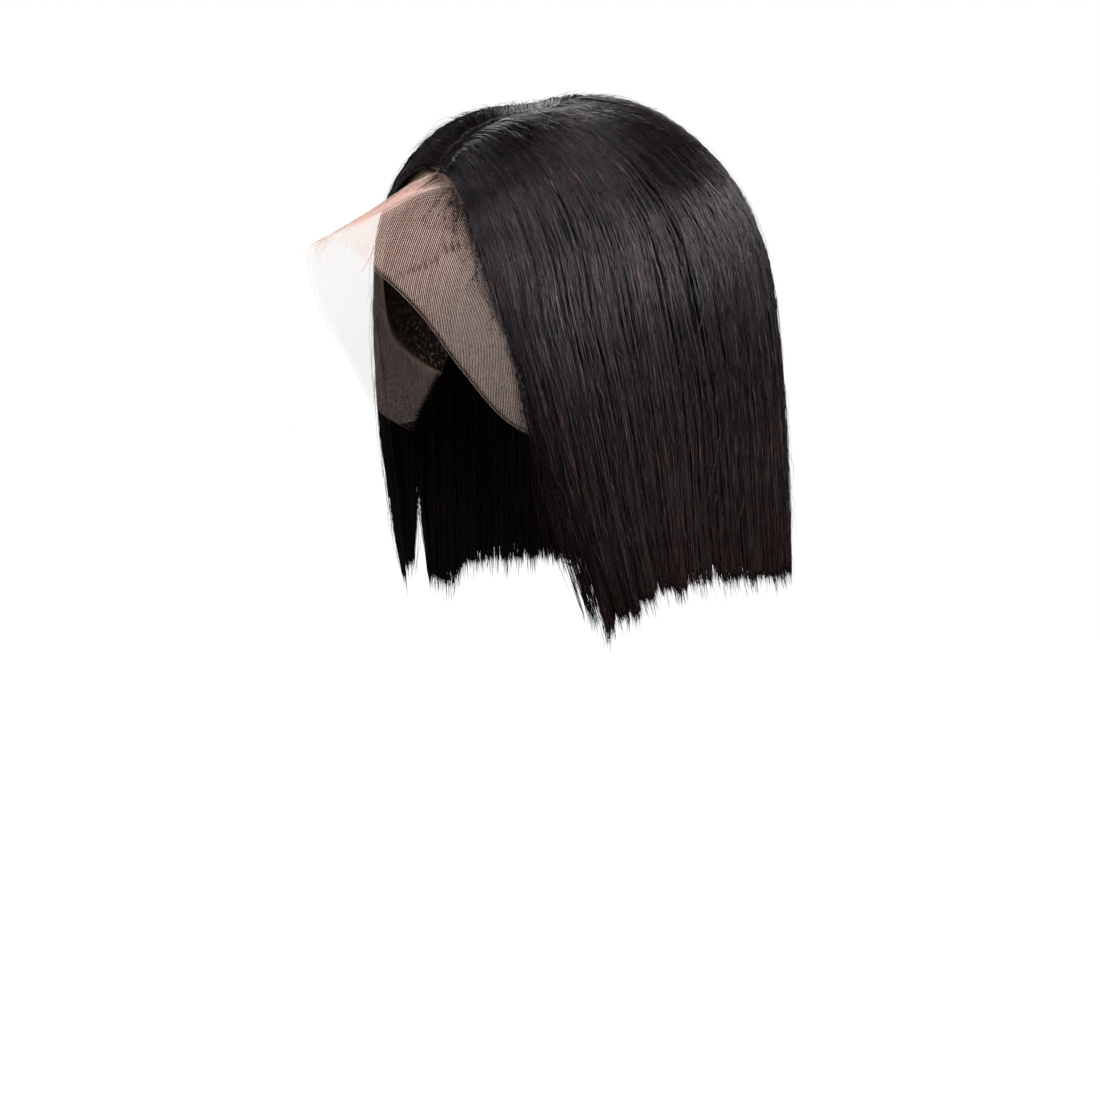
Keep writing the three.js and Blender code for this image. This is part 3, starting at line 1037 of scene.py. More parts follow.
@dataclass
class Curtain:
    """A curtain of strands in locks, which keeps the form of one hair solid."""

    name: str
    node: str
    form: HairForm
    locks: tuple[Lock, ...]
    span: Pair
    side: Side = Side.LEFT
    lift: float = 1.5
    longer: float = 0.0
    right_extra: float = 6.0
    part_strands: int = 2820
    cap_strands: int = 850
    slit_share: float = 0.15
    edge_short: float = 6.0
    shoulder: float = 3.0
    crest_power: float = 0.6
    root_relief: float = 0.2
    forward: float = 0.0
    forward_reach: float = 0.04
    forward_run: Pair = (0.5, 1.1)
    edge_thinning: float = 1.0
    bed_start: float = 0.0
    bundle_short: float = 6.0
    fraying: float = 0.0
    gap: float = 0.0
    gap_at: float = 0.255
    gap_reach: float = 0.07
    gap_start: float = 1.3
    clumping: Clumping = Clumping()
    hem: HemCut = HemCut()
    strand: StrandShape = StrandShape()
    under: Bed = Bed()

    def lock_table(self) -> Array:
        """Columns across the locks.

        Returns:
            A row for each column, with its share, how far it stands out and its extra length.
        """
        total = sum(lock.width for lock in self.locks)
        rows = [(0.0, 0.0, self.locks[0].tip - self.edge_short)]
        start = 0.0
        for lock, following in zip(self.locks, (*self.locks[1:], self.locks[-1])):
            for part, short in ((0.25, self.shoulder), (0.5, 0), (0.75, self.shoulder)):
                crest = lock.relief * math.sin(math.pi * part) ** self.crest_power
                rows.append(((start + lock.width * part) / total, crest, lock.tip - short))
            valley = min(lock.tip, following.tip) - self.slit_share * lock.slit
            start += lock.width
            rows.append((start / total, 0.0, valley))
        table = np.array(rows)
        table[:, 0] = mix(*self.span, table[:, 0])
        return table

    def tips(self, share: Array) -> Array:
        """Length beyond the hem.

        Args:
            share: places across the curtain.

        Returns:
            A length in mm for each place.
        """
        columns, _, tips = self.lock_table().T
        on_right = smoothstep(share, 1, 2 - SPLIT_SIDE)
        return np.interp(share, columns, tips) + self.longer + self.right_extra * on_right

    def laid(self, share: Array, station: Array, inward: Array, longer: Array) -> Array:
        """Points in the hair.

        Args:
            share: places round the wig, for each strand and stop.
            station: places along the strands.
            inward: share of the hair's depth, from the outer form.
            longer: length beyond the hem.

        Returns:
            x, y and z along the last axis, on the curtain's own side.
        """
        columns, crests, _ = self.lock_table().T
        crest = np.interp(share, columns, crests) * mix(self.root_relief, 1, station / 2)
        normal = self.form.outward(share, station, self.lift, longer)
        out = crest - inward * self.form.thickness(share, station)
        points = self.form.point(share, station, self.lift, longer) + normal * out[..., None]
        points = self.form.keep_clear(points, station)
        beside = self.form.root(from_edge(share))[..., 0]
        own = np.where(share > 1, -1, 1)
        points[..., 0] = own * np.maximum(own * points[..., 0], beside)
        points[..., 0] *= self.side.value
        points[..., 0] += self.form.part_shift(share, station)
        return points

    def parted(self, share: Array, station: Array) -> Array:
        """Shares drawn apart, toward the hem, where the curtain falls open."""
        away = np.where(share < self.gap_at, -1, 1) * fading(np.abs(share - self.gap_at), self.gap_reach)
        return share + self.gap * away * smoothstep(station, self.gap_start, 2)

    def stations(self, count: int, growth: Growth, rng: np.random.Generator) -> Array:
        """Stations along strands, at other places on each so that no row of corners shows.

        Args:
            count: how many strands.
            growth: where they start.
            rng: the source of chance.

        Returns:
            A row of stations for each strand.
        """
        chance = Chance(rng, count)
        if growth is Growth.CAP:
            start = chance.between(self.strand.cap_starts)
            return start + (2 - start) * np.array(self.strand.cap_stops)
        stops = np.array(self.strand.part_stops)
        station = stops + chance.between(self.strand.stop_phase) * np.gradient(stops)
        fixed = [0, -2, -1]
        station[:, fixed] = stops[fixed]
        return station

    def cut_back(self, last: Array, rng: np.random.Generator) -> Array:
        """How much shorter than its lock each strand is cut.

        Args:
            last: the share at each strand's tip.
            rng: the source of chance.

        Returns:
            A length in mm for each strand, below zero for those that hang past the rest.
        """
        hem, count = self.hem, len(last)
        spread = hem.spread + self.fraying * fading(np.maximum(last, 0), hem.fray_reach)
        cut = np.minimum(rng.exponential(1.0, count) * spread, hem.most) + rng.uniform(*hem.step, count)
        past = np.minimum(rng.exponential(hem.long_mean, count), hem.long_most)
        return np.where(rng.random(count) < hem.long_share, -past, cut)

    def gathered(
        self, count: int, clumps: int, growth: Growth, rng: np.random.Generator
    ) -> tuple[Array, Array, Array, Array]:
        """Places of strands that draw together toward their tips.

        Args:
            count: how many strands.
            clumps: how many clumps they gather in.
            growth: where they start.
            rng: the source of chance.

        Returns:
            Share, inward depth and station for each strand and stop, then each strand's clump.
        """
        plan, shape = self.clumping, self.strand
        low, high = self.span
        number = max(clumps // plan.lock_size, 1)
        spread = (np.arange(number) + rng.uniform(0, 1, number)) / number
        locks = mix(low - plan.overlap, high + plan.overlap, spread**self.edge_thinning)
        lock = rng.integers(0, number, clumps)
        apart = rng.normal(0, plan.lock_width, clumps)
        rank = np.argsort(np.argsort(locks[lock] + apart))
        dealt = (rank * GOLDEN) % 1
        level = dealt**plan.top_power if growth is Growth.PART else mix(*plan.cap_depths, dealt)
        station = self.stations(count, growth, rng)

        own = rng.integers(0, clumps, count)
        pull = rng.uniform(*plan.pull, number)[lock[own]][:, None] * smoothstep(station, *plan.pull_run)
        drift = rng.normal(0, plan.drift, clumps)[own][:, None] * smoothstep(station, *plan.drift_run)
        stray = rng.random(count) < plan.stray_share
        cross = np.where(stray, rng.normal(0, plan.stray_cross, count), rng.normal(0, plan.cross, count))
        share = locks[lock[own]][:, None] + apart[own][:, None] * (1 - pull) + drift
        share = share + rng.normal(0, plan.clump_width, (count, 1))
        share = share + cross[:, None] * smoothstep(station, *plan.cross_run)
        share = np.clip(share, low, high) if low > 0 else np.minimum(share, high)
        ahead = fading(np.abs(share), self.forward_reach) * (1 - smoothstep(station, *self.forward_run))
        share = share - self.forward * ahead

        inward = np.clip(level[own] + rng.normal(0, plan.depth_spread, count), 0, 1)
        inward = np.where(stray, 0.0, inward)[:, None] + rng.normal(0, plan.unevenness, share.shape)
        rise = shape.part_rise if growth is Growth.PART else shape.cap_rise
        inward = mix(np.ones_like(share), inward, smoothstep(station - station[:, :1], 0, rise))
        return share, inward, station, own

    def grow(self, strands: Strands, count: int, growth: Growth, rng: np.random.Generator) -> None:
        """Adds strands of one growth.

        Args:
            strands: the mesh to add to.
            count: how many strands.
            growth: where they start.
            rng: the source of chance.
        """
        plan, shape = self.clumping, self.strand
        clumps = max(count // plan.clump_size, 1)
        share, inward, station, own = self.gathered(count, clumps, growth, rng)
        cut = self.cut_back(share[:, -1], rng)
        tint = plan.tint_scale * rng.beta(*plan.tint_shape, clumps)[own]
        tint = np.clip(tint + rng.normal(0, plan.tint_spread, count), 0, 1)

        share = self.parted(share, station)
        longer = np.broadcast_to((self.tips(share[:, -1]) - cut)[:, None], share.shape)
        paths = self.laid(share, station, inward, longer)
        along = station / 2
        taper = mix(shape.root_width, 1, smoothstep(along, 0, shape.root_run))
        taper = taper * mix(1, shape.tip_width, smoothstep(along, shape.tip_run, 1))
        radius = shape.radius * rng.uniform(*shape.radius_range, (count, 1)) * taper
        # Some strands take the lightest tints: red-brown colour lightened into painted copper glints.
        glint = rng.random(count) < shape.painted_glint_share
        tint = np.where(glint, rng.uniform(*shape.painted_glint_tints, count), tint)
        strands.add(paths, radius, tint, along_map(station))

    def lay_bed(self, strands: Strands) -> None:
        """Adds the close-packed bundles under the strands, which hide what lies behind the hair.

        Args:
            strands: the mesh to add to.
        """
        bed = self.under
        low, high = max(self.span[0], self.bed_start), self.span[1]
        count = max(int((high - low) * bed.bundles), bed.least)
        across = low + (high - low) * (np.arange(count) + 0.5) / count
        station = np.broadcast_to(bed.stops, (count, len(bed.stops)))
        share = self.parted(np.broadcast_to(across[:, None], station.shape), station)
        longer = np.broadcast_to((self.tips(across) - self.bundle_short)[:, None], share.shape)
        inward = mix(bed.root_depth, bed.depth, smoothstep(station, 0, bed.rise))
        paths = self.laid(share, station, inward, longer)
        radius = bed.radius * self.form.thickness(share, station)
        strands.add(paths, radius, np.zeros(count), along_map(station))

    def build(self, finish: Material, seed: int) -> Piece:
        """Builds and dresses the curtain.

        Args:
            finish: the hair's material.
            seed: the start of its chance.

        Returns:
            The finished piece.
        """
        rng = np.random.default_rng(seed)
        strands = Strands()
        self.lay_bed(strands)
        self.grow(strands, self.part_strands, Growth.PART, rng)
        self.grow(strands, self.cap_strands, Growth.CAP, rng)
        return dress(strands.piece(self.name, finish), "hair", self.node)


@dataclass(frozen=True)
class Net:
    """The threads of the loose lace in mm, further apart than life so that they show."""

    pitch: float = 1.35
    radius: float = 0.026
    slants: Rows = ((1, 1.8), (-1, 0.5))
    back_reach: float = 0.04
    rows: int = 17
    least_rows: int = 4
    finest: int = 801
    tints: Pair = (0.1, 0.6)
    gather_at: float = 0.2
    gather_width: float = 0.2
    gather_run: Pair = (1.0, 1.3)
    gather_gain: float = 1.9
    # Threads that gather in the fold are darker: partly painted shade.
    gather_tint: float = 0.38


@dataclass(frozen=True)
class Ridge:
    """The gathered threads of the fold that runs from the part to the lace's tip."""

    count: int = 150
    stops: int = 14
    starts: Pair = (0, 0.25)
    shorter: Pair = (0.25, 0.45)
    width: float = 0.03
    middle: float = 0.5
    spread: float = 0.8
    fan: float = 1.6
    fan_reach: float = 0.15
    bulge: Pair = (-0.5, 0.5)
    # The fold's threads take the darker end of the tints: partly painted shade in the fold.
    tints: Pair = (0.6, 1)


@dataclass(frozen=True)
class Fringe:
    """The frayed threads that hang from the lace's tip, in mm."""

    count: int = 46
    stops: int = 9
    spread: float = 0.045
    rows: Pair = (1.93, 2)
    length: Pair = (0.4, 1.1)
    drop: float = 14.0
    drop_range: Pair = (0.3, 1.1)
    drop_power: float = 1.4
    reach: tuple[float, float, float] = (-5.12, -6.16, 0.0)
    reach_power: float = 0.8
    sway: float = 1.2
    sway_power: float = 1.5
    tints: Pair = (0.55, 1)


@dataclass(frozen=True)
class Yarn:
    """The twisted yarn that hangs from the fold, in mm."""

    root: Pair = (0.01, 1.5)
    path: Rows = ((0, 0, 0), (-3.2, -3.8, -18.3), (-5.4, -6.4, -29), (-8.2, -9.8, -36.7))
    stops: int = 15
    plies: int = 3
    twists: int = 3
    radius: float = 0.13
    tint: float = 0.95


@dataclass
class LaceFront:
    """The lace: over the front of the dome from the seam to the hairline, then loose to its edge.

    A share counts from the right end (-1) to the left end (1), and a row from the seam (0) over
    the hairline (1) to the free edge (2).
    """

    dome: Dome
    # The solid's wall in mm: the sheet follows its middle.
    wall: float = 1.0
    hairline: Rows = (
        (0, -28),
        (18, -42),
        (27, -68),
        (33, -97),
        (41.5, -120),
        (60, -138),
        (76, -147),
    )
    edge: Rows = (
        (0, -158, -62),
        (20, -153, -69),
        (36, -141.5, -86),
        (46, -123, -110),
        (49.5, -103, -134),
        (57, -78, -162),
        (66, -45, -178),
    )
    folds: Rows = (
        (-0.36, 0.09, 1.8),
        (-0.16, 0.05, 1.6),
        (0.02, 0.05, 1.4),
        (0.2, 0.08, -1.6),
        (0.46, 0.1, 1.6),
    )
    fold_swell: float = 1.4
    sag: float = -1.0
    wrinkle: float = 1.2
    wrinkle_width: float = 0.3
    wrinkle_at: float = 0.2
    wrinkle_depth: float = 0.15
    wrinkle_waves: Pair = (60, 14)
    sheet_wall: float = 0.2
    sheet_columns: int = 121
    sheet_rows: int = 57
    fold_radius: float = 0.05
    border_tint: float = 0.5
    net: Net = Net()
    ridge: Ridge = Ridge()
    fringe: Fringe = Fringe()
    yarn: Yarn = Yarn()
    cut_size: Pair = (0.36, 0.2)
    cut_area: float = 0.05

    def surface(self, share: Array, row: Array) -> Array:
        """Points of the lace.

        Args:
            share: places from the right end to the left end.
            row: places from the seam to the free edge.

        Returns:
            x, y and z along the last axis.
        """
        line = self.dome.line(self.hairline, self.wall / 2)
        place = (share + 1) / 2 * (2 * len(line) - 2)
        root = smooth_curve(mirrored(line), place)
        end = smooth_curve(mirrored(np.array(self.edge)), place)
        seam = self.dome.seam(share, -SEAM_GAP)
        way = mix(seam, unit(root - self.dome.centre), np.clip(row, 0, 1)[..., None])
        on_dome = self.dome.over(way, self.wall / 2)
        reach = np.clip(row - 1, 0, 1)
        loose = mix(root, end, reach[..., None])
        fold = sum(height * bell(share - at, width) for at, width, height in self.folds)
        loose[..., 2] += self.sag * 4 * reach * (1 - reach) * (1 - share * share)
        loose[..., 2] += fold * reach * mix(self.fold_swell, 1, reach)
        beside = bell(share, self.wrinkle_width) * bell(reach - self.wrinkle_at, self.wrinkle_depth)
        across, along = self.wrinkle_waves
        loose[..., 2] += self.wrinkle * beside * np.sin(across * share + along * reach)
        return np.where((row <= 1)[..., None], on_dome, loose)

    def at_row(self, share: Array, row: float) -> Array:
        """Points of the lace along one row."""
        return self.surface(share, np.full_like(share, row))

    def build_sheet(self, finish: Material) -> Piece:
        """The tulle itself, as a sheet with a thin wall.

        Args:
            finish: the tulle's material.

        Returns:
            The finished piece.
        """
        columns, rows = np.linspace(1, -1, self.sheet_columns), np.linspace(0, FREE_EDGE, self.sheet_rows)
        points = self.surface(*np.meshgrid(columns, rows))
        return dress(grid_piece("lace_sheet", points, self.sheet_wall, finish), "lace", "lace_front")

    def build_net(self, finish: Material) -> Piece:
        """The threads of the lace: its net, its fold, its cut edge and what hangs from it.

        Args:
            finish: the threads' material.

        Returns:
            The finished piece.
        """
        strands = Strands()
        rng = np.random.default_rng(SEED)
        for slant, stoutness in self.net.slants:
            self.add_slanted(strands, slant, stoutness, rng)
        self.add_ridge(strands, rng)
        self.add_border(strands)
        self.add_fringe(strands, rng)
        self.add_yarn(strands)
        return dress(strands.piece("lace_net", finish), "lace")

    def add_slanted(
        self, strands: Strands, slant: float, stoutness: float, rng: np.random.Generator
    ) -> None:
        """Adds one of the two sets of slanting threads that cross in the net.

        Args:
            strands: the mesh to add to.
            slant: which way they lean.
            stoutness: a factor on their radius.
            rng: the source of chance.
        """
        net = self.net
        fine = np.linspace(-1, 1, net.finest)
        steps = np.linalg.norm(np.diff(self.at_row(fine, HALFWAY), axis=0), axis=-1)
        run = np.concatenate([[0], np.cumsum(steps)])
        depth = np.linalg.norm(self.at_row(fine, HAIRLINE) - self.at_row(fine, FREE_EDGE), axis=-1)
        whole, height = run[-1], float(depth.mean())
        reach = np.concatenate([[HAIRLINE - net.back_reach], np.linspace(HAIRLINE, FREE_EDGE, net.rows)])
        number = np.arange(len(reach))
        starts = np.arange(-height, whole + height, net.pitch)
        place = starts[:, None] + slant * height * (reach - HALFWAY)
        inside = (place > 0) & (place < whole)
        keep = inside.sum(axis=1) >= net.least_rows
        place, inside = place[keep], inside[keep]
        first = np.argmax(inside, axis=1)
        last = number[-1] - np.argmax(inside[:, ::-1], axis=1)
        span = np.linspace(0, 1, len(reach))
        counted = first[:, None] + (last - first)[:, None] * span
        rows = np.interp(counted, number, reach)
        columns = np.stack([np.interp(c, number, p) for c, p in zip(counted, place)])
        share = np.interp(columns, run, fine)
        dense = bell(share - net.gather_at, net.gather_width) * smoothstep(rows, *net.gather_run)
        tint = rng.uniform(*net.tints, len(share)) + net.gather_tint * dense.max(axis=1)
        radius = stoutness * net.radius * (1 + net.gather_gain * dense)
        strands.add(self.surface(share, rows), radius, tint, span)

    def add_ridge(self, strands: Strands, rng: np.random.Generator) -> None:
        """Adds the gathered threads of the fold.

        Args:
            strands: the mesh to add to.
            rng: the source of chance.
        """
        ridge, stops = self.ridge, np.linspace(0, 1, self.ridge.stops)
        chance = Chance(rng, ridge.count)
        row = 1 + chance.between(ridge.starts) + (1 - chance.between(ridge.shorter)) * stops
        row = np.minimum(row, 2)
        fan = 1 + ridge.fan * fading(row - 1, ridge.fan_reach)
        share = ridge.width * chance.about(ridge.spread, ridge.middle) * fan
        paths = self.surface(share, row)
        paths[..., 2] += chance.between(ridge.bulge) * np.sin(math.pi * stops)
        strands.add(paths, self.fold_radius, rng.uniform(*ridge.tints, ridge.count), stops)

    def add_border(self, strands: Strands) -> None:
        """Adds the thread of the cut edge.

        Args:
            strands: the mesh to add to.
        """
        share = np.linspace(-1, 1, self.sheet_columns)
        along = np.linspace(0, 1, self.sheet_columns)
        path = self.at_row(share, FREE_EDGE)[None]
        strands.add(path, self.fold_radius, np.array([self.border_tint]), along)

    def add_fringe(self, strands: Strands, rng: np.random.Generator) -> None:
        """Adds the frayed threads of the tip.

        Args:
            strands: the mesh to add to.
            rng: the source of chance.
        """
        fringe, stops = self.fringe, np.linspace(0, 1, self.fringe.stops)[:, None]
        each = (fringe.count, 1, 1)
        start = rng.normal(0.0, fringe.spread, fringe.count)
        place = self.surface(start, rng.uniform(*fringe.rows, fringe.count))[:, None]
        length = rng.uniform(*fringe.length, each)
        fall = stops**fringe.drop_power * [0, 0, -fringe.drop] * rng.uniform(*fringe.drop_range, each)
        forth = stops**fringe.reach_power * fringe.reach
        sway = rng.normal(0, fringe.sway, (fringe.count, 1, 3)) * stops**fringe.sway_power
        paths = place + length * (forth + fall + sway)
        tint = rng.uniform(*fringe.tints, fringe.count)
        strands.add(paths, self.fold_radius, tint, stops[:, 0])

    def add_yarn(self, strands: Strands) -> None:
        """Adds the yarn, ply by ply.

        Args:
            strands: the mesh to add to.
        """
        yarn, along = self.yarn, np.linspace(0, 1, self.yarn.stops)
        path = smooth_curve(np.array(yarn.path), along * (len(yarn.path) - 1))
        ply = np.arange(yarn.plies)[:, None] / yarn.plies
        twist = 2 * math.pi * (ply + yarn.twists * along)
        about = np.stack([np.cos(twist), np.sin(twist), np.zeros_like(twist)], -1) * yarn.radius
        root = self.surface(*np.array(yarn.root)[:, None])
        strands.add(root + path + about, yarn.radius, np.full(yarn.plies, yarn.tint), along)

    def build(self, sheet_finish: Material, thread_finish: Material) -> tuple[Piece, Piece]:
        """Args:
            sheet_finish: the tulle's material.
            thread_finish: the threads' material.

        Returns:
            The sheet and the net.
        """
        sheet = self.build_sheet(sheet_finish)
        net = self.build_net(thread_finish)
        return sheet, net


@dataclass(frozen=True)
class HairKind:
    """One kind of loose hair: starts and lengths in stations, places and turns in shares, rises in mm."""

    count: int
    stops: int
    start: Pair
    length: Pair
    places: Pair = (0.0, 0.0)
    turn: float = 0.0
    turn_power: float = 1.0
    base: float = 0.0
    rise: Pair = (0.0, 0.0)
    rise_power: float = 1.0
    longer: Pair = (0.0, 0.0)
    stoutness: float = 1.0
    tints: Pair = (0.1, 0.8)


@dataclass
class StrayHair:
    """Single hairs off the mass: over the contours, before the front edges and along the part."""

    form: HairForm
    lace: LaceFront
    contour: HairKind = HairKind(
        count=1100,
        stops=8,
        start=(0.05, 1.5),
        length=(0.25, 0.8),
        places=(0.02, 1.98),
        turn=0.027,
        turn_power=1.3,
        base=0.6,
        rise_power=1.6,
        longer=(-4, 6),
    )
    short_share: float = 0.55
    short_length: Pair = (0.08, 0.25)
    short_from: float = 0.55
    short_run: float = 0.9
    contour_least: float = 0.6
    contour_mean: float = 1.1
    contour_most: float = 3.9
    ending_share: float = 0.5
    wisp: HairKind = HairKind(
        count=140,
        stops=9,
        start=(0.04, 1.3),
        length=(0.35, 1.0),
        turn=0.004,
        rise=(0, 1.5),
        longer=(-10, 16),
        stoutness=1.3,
    )
    wisp_edge: float = 0.012
    wisp_ahead: Pair = (0.024, 0.09)
    wisp_bend: float = 0.62
    far_ahead: float = 0.25
    # Starts and lengths of these are shares of the lace, from its middle to its end.
    baby: HairKind = HairKind(
        count=170,
        stops=9,
        start=(0.06, 0.6),
        length=(0.06, 0.3),
        base=0.8,
        rise=(0.2, 1.6),
        stoutness=2.2,
    )
    far_babies: int = 40
    baby_ahead: Pair = (0.1, 0.4)
    baby_bend: Pair = (0.5, 0.9)
    baby_radius: Pair = (0.5, 1.1)
    baby_run: float = 0.9
    frizz: HairKind = HairKind(
        count=420,
        stops=5,
        start=(0.02, 0.3),
        length=(0.04, 0.12),
        places=(0.15, 0.95),
        turn=0.03,
        base=0.4,
        rise=(0.6, 3.6),
        rise_power=1.3,
        stoutness=1.3,
    )
    frizz_right: float = 0.75
    # The flyaways' light copper tints are a painted highlight: single hairs that catch the light.
    flyaway: HairKind = HairKind(
        count=420,
        stops=7,
        start=(0.6, 1.75),
        length=(0.05, 0.18),
        places=(0.03, 1.97),
        turn=0.03,
        turn_power=1.6,
        base=0.8,
        rise=(0.4, 2.4),
        stoutness=1.6,
        tints=(0.8, 0.96),
    )
    lift: float = 2.0
    radius: float = 0.085
    radius_range: Pair = (0.7, 1.15)
    tip_width: float = 0.4

    def taper(self, stops: Array) -> Array:
        """How a hair thins out toward its tip."""
        return mix(1, self.tip_width, stops**2)

    def add(
        self,
        strands: Strands,
        kind: HairKind,
        share: Array,
        station: Array,
        raised: Array,
        longer: Array,
        rng: np.random.Generator,
    ) -> None:
        """Adds hairs that follow the form at a height over it.

        Args:
            strands: the mesh to add to.
            kind: the hairs' kind.
            share: places round the wig, for each hair and stop; past 1 they are on the right.
            station: places along the form.
            raised: height over the form in mm.
            longer: length beyond the hem.
            rng: the source of chance.
        """
        points = self.form.point(share, station, self.lift, longer)
        points = points + self.form.outward(share, station, self.lift, longer) * raised[..., None]
        points = self.form.keep_clear(points, station)
        chance = Chance(rng, kind.count)
        taper = self.taper(np.linspace(0, 1, kind.stops))
        radius = kind.stoutness * self.radius * chance.between(self.radius_range) * taper
        strands.add(points, radius, rng.uniform(*kind.tints, kind.count), along_map(station))

    def contours(self, strands: Strands, rng: np.random.Generator) -> None:
        """Adds hairs that stand a little off the mass all round.

        Args:
            strands: the mesh to add to.
            rng: the source of chance.
        """
        kind, stops = self.contour, np.linspace(0, 1, self.contour.stops)
        chance = Chance(rng, kind.count)
        start = chance.between(kind.start)
        short = chance.happens(self.short_share)
        length = np.where(short, chance.between(self.short_length), chance.between(kind.length))
        start = np.where(short, self.short_from + self.short_run * start, start)
        station = np.minimum(start + length * stops, 2)
        share = chance.between(kind.places) + chance.about(kind.turn) * stops**kind.turn_power
        height = self.contour_least + chance.mostly_small(self.contour_mean, self.contour_most)
        ending = chance.happens(self.ending_share)
        raised = kind.base + height * np.where(ending, stops**kind.rise_power, np.sin(math.pi * stops))
        longer = np.zeros_like(station) + chance.between(kind.longer)
        self.add(strands, kind, share, station, raised, longer, rng)

    def wisps(self, strands: Strands, rng: np.random.Generator) -> None:
        """Adds loose hairs that bow out before the front edges, half of them on each side.

        Args:
            strands: the mesh to add to.
            rng: the source of chance.
        """
        kind, stops = self.wisp, np.linspace(0, 1, self.wisp.stops)
        chance = Chance(rng, kind.count)
        start = chance.between(kind.start)
        station = np.minimum(start + chance.between(kind.length) * stops, 2)
        right = np.arange(kind.count)[:, None] >= kind.count // 2
        ahead = chance.mostly_small(*self.wisp_ahead) * np.where(right, self.far_ahead, 1)
        share = self.wisp_edge - ahead * np.sin(math.pi * self.wisp_bend * stops)
        share = share + chance.about(kind.turn) * stops
        share = np.where(right, 2 - share, share)
        raised = chance.between(kind.rise) * stops
        longer = np.zeros_like(station) + chance.between(kind.longer)
        self.add(strands, kind, share, station, raised, longer, rng)

    def babies(self, strands: Strands, rng: np.random.Generator) -> None:
        """Adds fine hairs that grow through the lace at the hairline and lie over it.

        Args:
            strands: the mesh to add to.
            rng: the source of chance.
        """
        kind, stops = self.baby, np.linspace(0, 1, self.baby.stops)
        chance = Chance(rng, kind.count)
        share = chance.between(kind.start) + chance.between(kind.length) * stops
        near = np.arange(kind.count)[:, None] < kind.count - self.far_babies
        ahead = chance.mostly_small(*self.baby_ahead) * np.where(near, 1, self.far_ahead)
        row = 1 + ahead * np.sin(math.pi * chance.between(self.baby_bend) * stops)
        points = self.lace.surface(np.where(near, share, -share), row)
        raised = kind.base + chance.between(kind.rise) * stops
        points = points + unit(points - self.lace.dome.centre) * raised[..., None]
        radius = kind.stoutness * self.radius * chance.between(self.baby_radius) * self.taper(stops)
        tint = rng.uniform(*kind.tints, kind.count)
        strands.add(points, radius, tint, MAP_MARGIN + self.baby_run * stops)

    def broken(self, strands: Strands, kind: HairKind, on_right: float, rng: np.random.Generator) -> None:
        """Adds short broken hairs that turn out of the mass.

        Args:
            strands: the mesh to add to.
            kind: the hairs' kind.
            on_right: the share of them that is moved to the right, if any.
            rng: the source of chance.
        """
        stops = np.linspace(0, 1, kind.stops)
        chance = Chance(rng, kind.count)
        start = chance.between(kind.start)
        station = np.minimum(start + chance.between(kind.length) * stops, 2)
        share = chance.between(kind.places) + chance.about(kind.turn) * stops**kind.turn_power
        if on_right:
            share = np.where(chance.happens(on_right), 2 - share, share)
        raised = kind.base + chance.between(kind.rise) * stops**kind.rise_power
        self.add(strands, kind, share, station, raised, np.zeros_like(station), rng)

    def build(self, finish: Material) -> Piece:
        """Builds and dresses the stray hairs.

        Args:
            finish: the hair's material.

        Returns:
            The finished piece.
        """
        rng = np.random.default_rng(SEED)
        strands = Strands()
        self.contours(strands, rng)
        self.wisps(strands, rng)
        self.babies(strands, rng)
        self.broken(strands, self.frizz, self.frizz_right, rng)
        self.broken(strands, self.flyaway, 0, rng)
        return dress(strands.piece("stray_hairs", finish), "hair")


@dataclass
class Cap:
    """The net cap behind the seam, down to the nape."""

    dome: Dome
    rim: Rows = ((180, -165), (148, -158), (118, -139), (99, -131))
    wall: float = 1.1
    columns: int = 73
    rows: int = 29

    def build(self, finish: Material) -> Piece:
        """Builds and dresses the cap.

        Args:
            finish: the cap's material.

        Returns:
            The finished piece.
        """
        around = mirrored(self.dome.line(self.rim, 0))
        share, row = np.meshgrid(np.linspace(-1, 1, self.columns), np.linspace(0, 1, self.rows))
        end = smooth_curve(around, (share + 1) / 2 * (len(around) - 1))
        way = mix(self.dome.seam(share, SEAM_GAP), unit(end - self.dome.centre), row[..., None])
        surface = self.dome.over(way, self.wall / 2)
        return dress(grid_piece("cap_net", surface, self.wall, finish), "cap", "cap")


@dataclass(frozen=True)
class Softbox:
    """A soft rectangular light: where it stands from the wig in degrees, its size in m, its watts."""

    name: str
    azimuth: float
    pitch: float
    width: float
    height: float
    power: float


SOFTBOXES = (
    Softbox("side_softbox", 106, 20, 1.3, 0.9, 60),
    Softbox("low_side_softbox", 112, 3, 0.9, 0.3, 3.5),
    Softbox("side_top_softbox", 130, 36, 0.8, 0.6, 19),
    Softbox("front_softbox", 28, 34, 1.2, 0.6, 22),
    Softbox("low_front_softbox", 8, 4, 0.6, 0.4, 8),
    Softbox("top_softbox", 50, 75, 0.8, 0.8, 9),
    Softbox("hair_softbox", 232, 36, 1.0, 0.8, 11),
    Softbox("low_back_softbox", 205, 2, 0.9, 0.4, 9),
    Softbox("far_softbox", 315, 18, 1.0, 0.8, 6),
)
LACE_SOFTBOX = Softbox("lace_softbox", 40, 15, 1.2, 1.2, 34)


